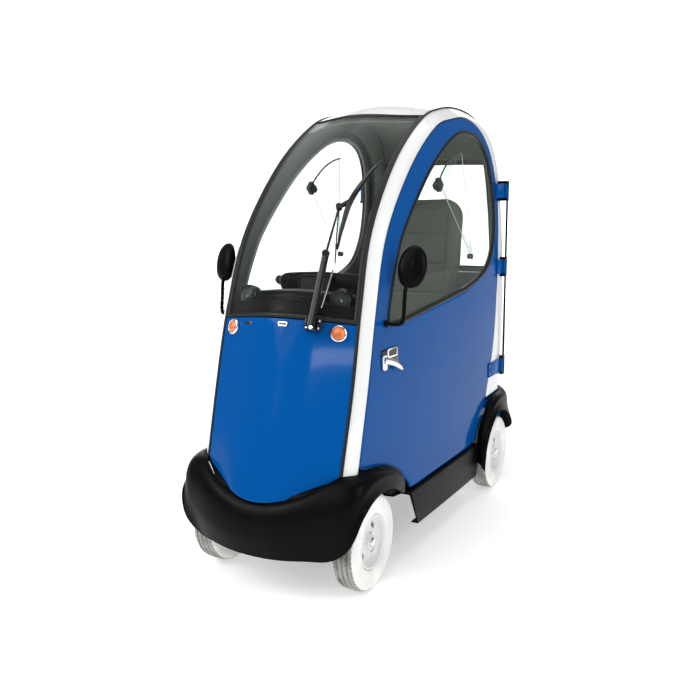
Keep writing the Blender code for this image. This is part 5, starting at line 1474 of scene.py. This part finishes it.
def lamps():
    for word, side in SIDES:
        round_lamp("indicator", word, side, INDICATOR_PLACE, INDICATOR_RING, INDICATOR_DOME,
                   "amber", "front_indicator_")
        round_lamp("rear_lamp", word, side, REAR_LAMP_PLACE, REAR_LAMP_RING, REAR_LAMP_DOME,
                   "red", "rear_lamp_")
        headlamp(word, side)


def headlamp(word, side):
    """Round headlamp in its pod behind the foot of the windscreen."""
    base, normal = lamp_place(HEADLAMP_PLACE[0], side * HEADLAMP_PLACE[1], -HEADLAMP_DEPTH)
    bm = bmesh.new()
    turned(bm, [(0.0290, 0.002), (0.0400, -0.004), (0.0430, -0.016), (0.0430, -0.040),
                (0.0300, -0.040), (0.0280, -0.010)], base + normal * 0.019, normal, 56,
           closed=True)
    piece("headlamp_pod_" + word, bm, "chassis", "gloss", angle=50.0)
    bm = bmesh.new()
    ring = base + normal * 0.0185
    turned(bm, [(0.0245, -0.004), (0.0285, -0.002), (0.0295, 0.002), (0.0270, 0.0035),
                (0.0250, 0.0015)], ring, normal, 48, closed=True)
    piece("headlamp_ring_" + word, bm, "chassis", "gloss", angle=50.0)
    bm = bmesh.new()
    turned(bm, [(0.0, -0.024), (0.009, -0.022), (0.016, -0.016), (0.021, -0.008),
                (0.0245, -0.001), (0.0235, -0.001), (0.0200, -0.009), (0.0150, -0.0175),
                (0.008, -0.0235), (0.0, -0.0255)], ring, normal, 48)
    rod(bm, ring - normal * 0.022, ring - normal * 0.006, 0.0060, 20, 0.002, 1)
    piece("headlamp_reflector_" + word, bm, "chassis", ("gloss", "chrome"), angle=60.0)
    bm = bmesh.new()
    turned(bm, [(0.0, 0.0050), (0.008, 0.0044), (0.016, 0.0028), (0.0225, 0.0002),
                (0.0225, -0.0010), (0.016, 0.0014), (0.008, 0.0030), (0.0, 0.0036)],
           ring, normal, 48)
    piece("headlamp_lens_" + word, bm, "chassis", "lens", ("headlight_" + word,), angle=60.0)


def dash():
    """Dash band under the windscreen."""
    outer = []
    inner = []
    for u in edged(-0.965, 0.965, 25, 0.004):
        a = skin(COWL_TOP - 0.10, u, -0.030)
        b = skin(COWL_TOP + 0.34, u, -0.034)
        depth = Vector((0.0, 0.110 * (1.0 - 0.3 * abs(u)), 0.0))
        outer.append([a, a.lerp(b, 0.5), a.lerp(b, 0.96), b + Vector((0.0, 0.004, 0.002)),
                      b + Vector((0.0, 0.030, 0.004)), b + depth * 0.6 + Vector((0, 0, 0.003)),
                      b + depth * 0.97, b + depth])
        inner.append([p + Vector((0.0, 0.004, -0.005)) for p in outer[-1]])
    bm = bmesh.new()
    grid_shell(bm, outer, inner)
    piece("dash_cover", bm, "chassis", "plastic", ("dashboard",), level=2)
    bm = bmesh.new()
    grid = []
    for t in edged(COWL_TOP + 0.03, COWL_TOP + 0.21, 4, 0.03):
        grid.append([skin(t, u, -0.0070) for u in edged(-0.955, 0.955, 25, 0.004)])
    lower = [[p + Vector((0.0, 0.006, 0.0)) for p in row] for row in grid]
    grid_shell(bm, grid, lower)
    piece("screen_foot_trim", bm, "chassis", "plastic", level=2)


def cowl_details():
    """Washer nozzle and an oval slot on the top of the cowl."""
    base, normal = lamp_place(1.736, 0.083, 0.0)
    across = Vector((1.0, 0.0, 0.0))
    upward = normal.cross(across).normalized()
    turn = Matrix((across, upward, normal)).transposed()
    bm = bmesh.new()
    for dz in (-0.0055, 0.0055):
        box(bm, base + upward * dz + normal * 0.0018, (0.034, 0.0045, 0.005), turn, 0.0012)
    for dx in (-0.0155, 0.0155):
        box(bm, base + across * dx + normal * 0.0018, (0.0045, 0.0135, 0.005), turn, 0.0012)
    piece("washer_nozzle_frame", bm, "chassis", "chrome")
    bm = bmesh.new()
    box(bm, base + normal * 0.0010, (0.028, 0.009, 0.003), turn, 0.0008)
    slot, slot_normal = lamp_place(1.732, -0.468, 0.0)
    flat = Matrix((across, slot_normal.cross(across).normalized(), slot_normal)).transposed()
    loops = []
    for height, grow in ((0.0, 1.0), (0.0018, 1.0), (0.0024, 0.9)):
        loop = []
        for k in range(28):
            angle = 2.0 * math.pi * k / 28
            place = Vector((0.0200 * grow * math.cos(angle), 0.0058 * grow * math.sin(angle),
                            height))
            loop.append(slot + flat @ place)
        loops.append(loop)
    loft(bm, loops)
    piece("cowl_slot_grommet", bm, "chassis", "gloss")


def wiper_spindle():
    """Foot of the wiper motor, its normal, and the spindle's axis and outer end."""
    normal = skin_normal(WIPER_STATION, WIPER_ACROSS)
    base = skin(WIPER_STATION, WIPER_ACROSS, 0.004)
    upward = normal.cross(Vector((1.0, 0.0, 0.0))).normalized()
    axis = (normal - upward * math.tan(math.radians(WIPER_TILT))).normalized()
    return base, normal, axis, base + normal * 0.018 + axis * 0.018


def flat_bar(bm, start, end, widths, heights, normal):
    """Tapered bar with a rounded rectangular section."""
    path = [start.lerp(end, f) for f in span(0.0, 1.0, 9)]
    loops = []
    tangent = (end - start).normalized()
    out = (normal - tangent * normal.dot(tangent)).normalized()
    across = tangent.cross(out)
    for k, here in enumerate(path):
        f = k / (len(path) - 1)
        w = widths[0] + (widths[1] - widths[0]) * f
        h = heights[0] + (heights[1] - heights[0]) * f
        corners = [here + across * (sx * w) + out * (sy * h)
                   for sx, sy in ((-1, -1), (1, -1), (1, 1), (-1, 1))]
        loops.append(rounded_loop(corners, min(w, h) * 0.6, 3))
    loft(bm, loops)


def wiper():
    base, normal, axis, tip = wiper_spindle()
    across = Vector((1.0, 0.0, 0.0))
    across = (across - normal * across.dot(normal)).normalized()
    turn = Matrix((across, normal.cross(across), normal)).transposed()
    bm = bmesh.new()
    box(bm, base + normal * 0.009, (0.056, 0.040, 0.022), turn, 0.004)
    for k in range(7):
        rib = base + normal * 0.012 + across * (-0.021 + 0.007 * k)
        box(bm, rib, (0.0028, 0.044, 0.024), turn, 0.0008, 1)
    rod(bm, tip - axis * 0.022, tip, 0.0085, 24, 0.001)
    rod(bm, base + normal * 0.004, base + normal * 0.022, 0.0135, 28, 0.002)
    piece("wiper_gearbox", bm, "chassis", "gloss", ("wiper_motor",))
    bm = bmesh.new()
    for dx, dy in ((-0.020, -0.014), (0.004, -0.017), (0.020, -0.013), (0.021, 0.012)):
        spot = base + normal * 0.0195 + turn @ Vector((dx, dy, 0.0))
        turned(bm, [(0.0, 0.0), (0.0048, 0.0), (0.0048, 0.004), (0.0035, 0.0058), (0.0, 0.0065)],
               spot, normal, 6)
    piece("wiper_bolts", bm, "chassis", "chrome")
    hub = tip + axis * 0.0004
    elbow = skin(*WIPER_ELBOW)
    head = skin(*WIPER_HEAD)
    bm = bmesh.new()
    rod(bm, hub, hub + axis * 0.017, 0.0115, 28, 0.002)
    rod(bm, hub + axis * 0.016, hub + axis * 0.021, 0.0075, 6, 0.001, 1)
    foot = hub + axis * 0.012
    flat_bar(bm, foot, elbow, (0.0130, 0.0110), (0.0068, 0.0058), normal)
    rod(bm, elbow - normal * 0.006, elbow + normal * 0.009, 0.0125, 24, 0.002)
    flat_bar(bm, elbow, head, (0.0042, 0.0034), (0.0030, 0.0026), normal)
    tube(bm, [skin(*WIPER_LINK[-1]), skin(*WIPER_LINK_BEND), head], 0.0024, 8)
    piece("wiper_arm_linkage", bm, "wiper_arm", ("gloss", "chrome"), ("wiper_arm",))
    bm = bmesh.new()
    tube(bm, [skin(*p) for p in WIPER_LINK], 0.0026, 10)
    piece("wiper_link_rod", bm, "wiper_arm", "chrome")
    track = smooth_path([skin(*p) for p in WIPER_BLADE], 8)
    out = [skin_normal(3.25, 0.67)] * len(track)
    bm = bmesh.new()
    sweep(bm, track, [(-0.0012, -0.0060), (0.0012, -0.0060), (0.0020, -0.0010),
                      (0.0042, 0.0000), (0.0042, 0.0020), (-0.0042, 0.0020),
                      (-0.0042, 0.0000), (-0.0020, -0.0010)], out)
    piece("wiper_squeegee", bm, "wiper_blade", "rubber", ("wiper_blade",))
    bm = bmesh.new()
    last = len(track) - 1
    raised = [track[round(last * f)] + out[0] * rise for f, rise in (
        (0.06, 0.004), (0.20, 0.010), (0.42, 0.017), (0.50, 0.018), (0.62, 0.016),
        (0.80, 0.010), (0.94, 0.004))]
    frame_path = smooth_path(raised, 6)
    widths = [0.6 + 1.2 * math.sin(math.pi * k / (len(frame_path) - 1))
              for k in range(len(frame_path))]
    sweep(bm, frame_path, ellipse(0.0058, 0.0034, 10), [out[0]] * len(frame_path),
          scale=widths)
    for start, end in ((0.10, 0.34), (0.66, 0.90)):
        spots = [track[round(last * f)] for f in (start, (start + end) / 2.0, end)]
        bow = [spots[0] + out[0] * 0.002, spots[1] + out[0] * 0.009, spots[2] + out[0] * 0.002]
        path = smooth_path(bow, 6)
        sweep(bm, path, ellipse(0.0042, 0.0022, 8), [out[0]] * len(path))
    middle = track[last // 2] + out[0] * 0.018
    rod(bm, head - out[0] * 0.010, head + out[0] * 0.010, 0.0110, 20, 0.002)
    flat_bar(bm, middle, head, (0.0085, 0.0070), (0.0060, 0.0050), out[0])
    rod(bm, middle - out[0] * 0.006, middle + out[0] * 0.007, 0.0058, 20)
    piece("wiper_yokes", bm, "wiper_blade", "gloss", angle=40.0)


# ---------------------------------------------------------------- steering
def console_point(x, y, z):
    """Point in the steering console's own axes, which lean towards the driver."""
    return CONSOLE_CENTRE + CONSOLE_TURN @ Vector((x, y, z))


def steering():
    top = TILLER_PIVOT
    bm = bmesh.new()
    box(bm, CONSOLE_CENTRE, CONSOLE_SIZE, CONSOLE_TURN, 0.018, 5)
    box(bm, console_point(0.0, 0.056, 0.018), (0.110, 0.004, 0.100), CONSOLE_TURN, 0.0015, 2)
    piece("console_case", bm, "tiller_head", "plastic", ("tiller_head",))
    bm = bmesh.new()
    wing = smooth_path([Vector((x, y, z)) for x, y, z in (
        (-0.178, 0.046, 0.112), (-0.120, 0.038, 0.118), (-0.050, 0.032, 0.122),
        (0.0, 0.030, 0.124), (0.050, 0.032, 0.122), (0.120, 0.038, 0.118),
        (0.178, 0.046, 0.112))], 8)
    count = len(wing)
    scale = []
    for k in range(count):
        f = abs(2.0 * k / (count - 1) - 1.0)
        scale.append(max(0.28, (1.0 - max(0.0, (f - 0.80) / 0.20) ** 2) ** 0.5))
    sweep(bm, [top + p for p in wing], ellipse(0.0400, 0.0290, 28),
          [Vector((0.0, 1.0, 0.25))] * count, scale=scale)
    piece("console_wings", bm, "tiller_head", "plastic", angle=60.0)
    bm = bmesh.new()
    bar = smooth_path([top + Vector(p) for p in (
        (-0.225, 0.150, 0.107), (-0.223, 0.112, 0.117), (-0.200, 0.072, 0.127),
        (-0.120, 0.045, 0.130), (0.0, 0.035, 0.130), (0.120, 0.045, 0.130),
        (0.200, 0.072, 0.127), (0.223, 0.112, 0.117), (0.225, 0.150, 0.107))], 8)
    tube(bm, bar, 0.0110, 18)
    piece("handlebar_loop", bm, "tiller_head", "frame", angle=60.0)
    for word, side in SIDES:
        bm = bmesh.new()
        grip = bar[:17] if side < 0 else list(reversed(bar[-17:]))
        scale = [1.0 + (0.07 if k % 2 else 0.0) for k in range(len(grip))]
        scale[0] = 0.86
        sweep(bm, grip, ellipse(0.0150, 0.0150, 20), scale=scale)
        piece("handlebar_grip_" + word, bm, "tiller_head", "foam", angle=60.0)
    hub = console_point(0.0, 0.076, 0.035)
    bm = bmesh.new()
    rod(bm, console_point(0.0, 0.076, 0.0235), console_point(0.0, 0.076, 0.0465), 0.009, 28)
    box(bm, hub, (0.360, 0.006, 0.012), CONSOLE_TURN, 0.0022)
    for side in (1, -1):
        box(bm, console_point(side * 0.165, 0.078, 0.035), (0.060, 0.010, 0.022), CONSOLE_TURN,
            0.0040, 3, 1)
    piece("wig_wag_lever", bm, "throttle_lever", ("steel", "foam"), ("throttle_lever",))
    face = CONSOLE_SIZE[2] / 2.0
    up = (console_point(0.0, 0.0, 1.0) - console_point(0.0, 0.0, 0.0)).normalized()
    bm = bmesh.new()
    foot = console_point(-0.035, 0.040, face + 0.0004)
    turned(bm, [(0.0, 0.0), (0.0150, 0.0), (0.0150, 0.003), (0.0132, 0.005), (0.0126, 0.0145),
                (0.0115, 0.0160), (0.0, 0.0162)], foot, up, 40)
    for k in range(18):
        swing = math.radians(20.0 * k)
        spot = foot + CONSOLE_TURN @ Vector((0.0132 * math.cos(swing),
                                             0.0132 * math.sin(swing), 0.0))
        rod(bm, spot + up * 0.0045, spot + up * 0.0150, 0.0013, 8, 0.0004)
    piece("speed_dial", bm, "speed_knob", "plastic", ("speed_knob",))
    bm = bmesh.new()
    foot = console_point(0.035, 0.040, face + 0.0034)
    turned(bm, [(0.0, 0.0), (0.0100, 0.0), (0.0100, 0.004), (0.0088, 0.0056), (0.0, 0.0060)],
           foot, up, 36)
    piece("horn_push", bm, "horn_button", "amber", ("horn_button",))
    bm = bmesh.new()
    turned(bm, [(0.0106, -0.0030), (0.0135, -0.0030), (0.0140, -0.0010), (0.0130, 0.0008),
                (0.0106, 0.0008)], foot, up, 36, closed=True)
    piece("horn_bezel", bm, "tiller_head", "steel")


# ---------------------------------------------------------------- seat
def soft_box(size, inset):
    """Box on the origin with a net of cuts, as the start of a cushion."""
    bm = bmesh.new()
    bmesh.ops.create_cube(bm, size=1.0, matrix=Matrix.Diagonal(
        (size[0] - inset, size[1] - inset, size[2] - inset, 1.0)))
    edges = list(bm.edges)
    bmesh.ops.bevel(bm, geom=edges, offset=min(size) * 0.26, segments=4, profile=0.5,
                    affect="EDGES")
    return bm


def inflate(thing, voxel, cap, frames=20):
    """Fill the cover with a cloth simulation; no point moves further than the cap."""
    remesh = thing.modifiers.new("remesh", "REMESH")
    remesh.mode = "VOXEL"
    remesh.voxel_size = voxel
    bake(thing)
    start = [vert.co.copy() for vert in thing.data.vertices]
    cloth = thing.modifiers.new("cloth", "CLOTH")
    settings = cloth.settings
    settings.quality = 5
    settings.mass = 0.35
    settings.tension_stiffness = 18.0
    settings.compression_stiffness = 18.0
    settings.bending_stiffness = 0.6
    settings.use_pressure = True
    settings.uniform_pressure_force = 4.0
    settings.effector_weights.gravity = 0.0
    cloth.collision_settings.use_collision = False
    scene = bpy.context.scene
    for number in range(1, frames + 1):
        scene.frame_set(number)
    bake(thing)
    scene.frame_set(1)
    for vert, rest in zip(thing.data.vertices, start):
        moved = vert.co - rest
        if moved.length > cap:
            vert.co = rest + moved * (cap / moved.length)


def cushion(name, bm, place, body, node, voxel, cap, channels, rests=None):
    """Padded vinyl piece: cloth-simulated fill, then sewn channels pressed in."""
    mesh = bpy.data.meshes.new(name)
    bmesh.ops.recalc_face_normals(bm, faces=bm.faces)
    bm.to_mesh(mesh)
    bm.free()
    thing = bpy.data.objects.new(name, mesh)
    bpy.context.scene.collection.objects.link(thing)
    inflate(thing, voxel, cap)
    smooth = thing.modifiers.new("smooth", "SMOOTH")
    smooth.factor = 0.5
    smooth.iterations = 3
    divide = thing.modifiers.new("divide", "SUBSURF")
    divide.levels = 1
    divide.render_levels = 1
    bake(thing)
    for vert in thing.data.vertices:
        if rests is not None:
            vert.co.z = max(vert.co.z, rests)
        press = 0.0
        for distance, width, depth in channels(vert.co):
            if abs(distance) < width:
                press = max(press, depth * (1.0 - (distance / width) ** 2) ** 2)
        if press > 0.0:
            vert.co -= vert.normal * press
    thing.data.transform(place)
    thing.data.materials.clear()
    thing.data.materials.append(FINISH["vinyl"][0])
    thing.data.shade_smooth()
    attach(thing, body)
    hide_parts(node)
    return thing


def seat_channels(p):
    """Distances to the seat's seams: a border round the top and two cross channels."""
    top = p.z > 0.010
    rim = max(abs(p.x) / 0.178, abs(p.y + 0.006) / 0.166)
    found = [((rim - 1.0) * 0.17, 0.0060, 0.0045 if top else 0.0)]
    inside = top and rim < 1.0
    for y in (-0.060, 0.055):
        found.append((p.y - y, 0.0065, 0.0050 if inside else 0.0))
    found.append((p.z + 0.012, 0.0045, 0.0030))
    return found


def back_channels(p):
    """Distances to the backrest's seams, in its own upright axes."""
    front = p.y < -0.010
    rim = max(abs(p.x) / 0.170, abs(p.z) / 0.262)
    found = [((rim - 1.0) * 0.18, 0.0065, 0.0050 if front else 0.0)]
    for z in (0.150, 0.020, -0.110):
        inside = front and rim < 1.0
        found.append((p.z - z, 0.0065, 0.0045 if inside else 0.0))
    found.append((p.y - 0.016, 0.0045, 0.0030))
    return found


def arm_channels(p):
    return [(p.z + 0.004, 0.0035, 0.0016)]


def backrest_form():
    """Backrest standing on the origin's plane, with rounded shoulders."""
    half = 0.236
    high = 0.638
    shoulder = 0.090
    waist = 0.216
    flank = [(waist - 0.034, 0.0), (waist, 0.060), (waist, 0.160), (waist, 0.255), (half, 0.335)]
    outline = list(flank)
    outline += arc((half - shoulder, high - shoulder), shoulder, 0.0, 90.0, 10)
    outline += arc((-half + shoulder, high - shoulder), shoulder, 90.0, 180.0, 10)
    outline += [(-x, y) for x, y in reversed(flank)]
    middle = Vector((0.0, high / 2.0))
    layers = []
    for depth, grow in ((-0.038, 0.88), (-0.030, 0.95), (-0.016, 0.99), (0.014, 0.99),
                        (0.030, 0.95), (0.038, 0.88)):
        layer = []
        for p in outline:
            flat = (Vector(p) - middle) * grow
            layer.append(Vector((flat.x, depth, flat.y)))
        layers.append(layer)
    bm = bmesh.new()
    loft(bm, layers)
    return bm


def seat():
    squab = (0.0, SEAT_Y - 0.010, SEAT_Z + 0.046)
    cushion("seat_squab", soft_box(SEAT_CUSHION, 0.014), Matrix.Translation(squab),
            "seat", "seat_cushion", CUSHION_VOXEL, 0.012, seat_channels, rests=-0.0445)
    lean = Matrix.Rotation(math.radians(-SEAT_BACK_LEAN), 4, "X")
    foot = Vector((0.0, SEAT_Y + 0.235, SEAT_Z + 0.110))
    base = Matrix.Translation((foot.x, foot.y + 0.055, foot.z + 0.005)) @ lean
    place = base @ Matrix.Translation((0.0, -0.046, SEAT_BACK_CENTRE))
    cushion("seat_backrest", backrest_form(), place, "seat_back", "seat_back", CUSHION_VOXEL,
            0.010, back_channels)
    for word, side in SIDES:
        spot = (side * ARMREST_X, SEAT_Y + 0.075, SEAT_Z + 0.300)
        body = "armrest_" + word
        cushion("armrest_pad_" + word, soft_box(ARMREST, 0.005), Matrix.Translation(spot), body,
                body, ARMREST_VOXEL, 0.004, arm_channels)
    bm = bmesh.new()
    loop = []
    for p in rounded_loop([Vector((-0.205, -0.196, 0.0)), Vector((0.205, -0.196, 0.0)),
                           Vector((0.205, 0.196, 0.0)), Vector((-0.205, 0.196, 0.0))],
                          0.050, 8):
        loop.append(Vector(squab) + p + Vector((0.0, 0.0, 0.0335)))
    tube(bm, loop, 0.0038, 10, closed=True)
    piece("seat_piping", bm, "seat", "piping", angle=60.0)


# ---------------------------------------------------------------- carried CAD nodes
CARRIED = {
    "chassis_frame": "frame", "front_axle": "frame", "transaxle": "frame",
    "battery_pack": "plastic", "steering_column": "frame", "tie_rod": "steel",
    "steering_knuckle_left": "steel", "steering_knuckle_right": "steel",
    "hinge_rail_left": "plastic", "hinge_rail_right": "plastic", "seat_pedestal": "frame",
}


def carried():
    for node, key in CARRIED.items():
        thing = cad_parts[node]
        thing.data.materials.clear()
        thing.data.materials.append(FINISH[key][0])


# ---------------------------------------------------------------- studio
CAMERA_AZIMUTH = 27.37
CAMERA_ELEVATION = 9.79
CAMERA_ROLL = -0.43
CAMERA_DISTANCE = 3.046
CAMERA_TARGET = Vector((-0.0072, -0.1216, 0.7204))
CAMERA_LENS = 39.93

FLOOR_GLOW = 0.42
BACKDROP_GLOW = 1.0
BACKDROP_RADIUS = 9.0
BACKDROP_HEIGHT = 6.0
WORLD_STRENGTH = 0.30
SKY_POWER = 1.6
CABIN = (0.0, 0.0, 0.8)
# Softboxes: name, place, what they face, width, height and watts.
SOFTBOXES = [
    ("key", (-2.2, -3.4, 3.0), CABIN, 1.6, 1.6, 55.0),
    ("side", (3.6, -0.6, 2.6), CABIN, 1.2, 2.4, 50.0),
    ("top", (0.0, 0.6, 4.2), CABIN, 2.4, 2.4, 35.0),
    ("low", (2.4, -1.6, 0.55), (0.3, -0.2, 0.15), 1.2, 0.5, 3.5),
    ("glint", (0.88, -3.89, 1.89), (0.155, -0.645, 0.80), 0.50, 0.18, 5.0),
]


def camera():
    azimuth = math.radians(CAMERA_AZIMUTH)
    elevation = math.radians(CAMERA_ELEVATION)
    back = Vector((math.sin(azimuth) * math.cos(elevation),
                   -math.cos(azimuth) * math.cos(elevation), math.sin(elevation)))
    data = bpy.data.cameras.new("camera")
    data.lens = CAMERA_LENS
    thing = bpy.data.objects.new("camera", data)
    bpy.context.scene.collection.objects.link(thing)
    turn = Matrix.Rotation(math.radians(CAMERA_ROLL), 3, back) @ axis_frame(back)
    thing.matrix_world = (Matrix.Translation(CAMERA_TARGET + back * CAMERA_DISTANCE)
                          @ turn.to_4x4())
    bpy.context.scene.camera = thing


def softbox(name, place, target, width, height, power):
    """Soft rectangular light that faces its target."""
    data = bpy.data.lights.new(name, "AREA")
    data.shape = "RECTANGLE"
    data.size = width
    data.size_y = height
    data.energy = power
    thing = bpy.data.objects.new(name, data)
    bpy.context.scene.collection.objects.link(thing)
    direction = Vector(place) - Vector(target)
    thing.location = place
    thing.rotation_mode = "QUATERNION"
    thing.rotation_quaternion = direction.to_track_quat("Z", "Y")


def sheet(name, rows, finish):
    """Smooth sheet through rows of points."""
    bm = bmesh.new()
    grid = [[bm.verts.new(p) for p in row] for row in rows]
    for a, b in zip(grid[:-1], grid[1:]):
        for k in range(len(a) - 1):
            bm.faces.new((a[k], a[k + 1], b[k + 1], b[k]))
    mesh = bpy.data.meshes.new(name)
    bm.to_mesh(mesh)
    bm.free()
    mesh.materials.append(finish)
    mesh.shade_smooth()
    thing = bpy.data.objects.new(name, mesh)
    bpy.context.scene.collection.objects.link(thing)


def studio():
    pale = surface("pale floor", (0.800, 0.800, 0.795), 0.70, vary=0.01, patch=0.5, grain=40.0,
                   relief=0.0001, glow=FLOOR_GLOW)
    sheet("floor", [[(x, y, 0.0) for x in (-30.0, 30.0)] for y in (-30.0, 30.0)], pale)
    wall = surface("pale backdrop", (0.800, 0.800, 0.795), 0.80, vary=0.01, patch=0.5,
                   grain=40.0, relief=0.0001, glow=BACKDROP_GLOW)
    foot = arc((0.0, 0.0), BACKDROP_RADIUS, 84.0, 152.0, 31)
    sheet("backdrop", [[(x, y, z) for x, y in foot] for z in (-0.1, BACKDROP_HEIGHT)], wall)
    world = bpy.data.worlds.new("studio")
    world.use_nodes = True
    shader = world.node_tree.nodes["Background"]
    shader.inputs["Color"].default_value = (1.0, 1.0, 1.0, 1.0)
    shader.inputs["Strength"].default_value = WORLD_STRENGTH
    bpy.context.scene.world = world
    data = bpy.data.lights.new("sky", "SUN")
    data.energy = SKY_POWER
    data.angle = math.radians(60.0)
    sky = bpy.data.objects.new("sky", data)
    sky.rotation_euler = (math.radians(38.0), math.radians(-22.0), 0.0)
    bpy.context.scene.collection.objects.link(sky)
    for row in SOFTBOXES:
        softbox(*row)


bpy.context.scene.view_settings.view_transform = "Standard"
camera()
studio()
body_skins()
rear_body()
hoops()
moulding("front_bumper_shell", FRONT_BUMPER, 3, 15, "front_bumper")
moulding("rear_bumper_shell", REAR_BUMPER, 3, 13, "rear_bumper")
cowl_foot_seal()
floor()
doors()
wheels()
lamps()
dash()
cowl_details()
wiper()
steering()
seat()
carried()
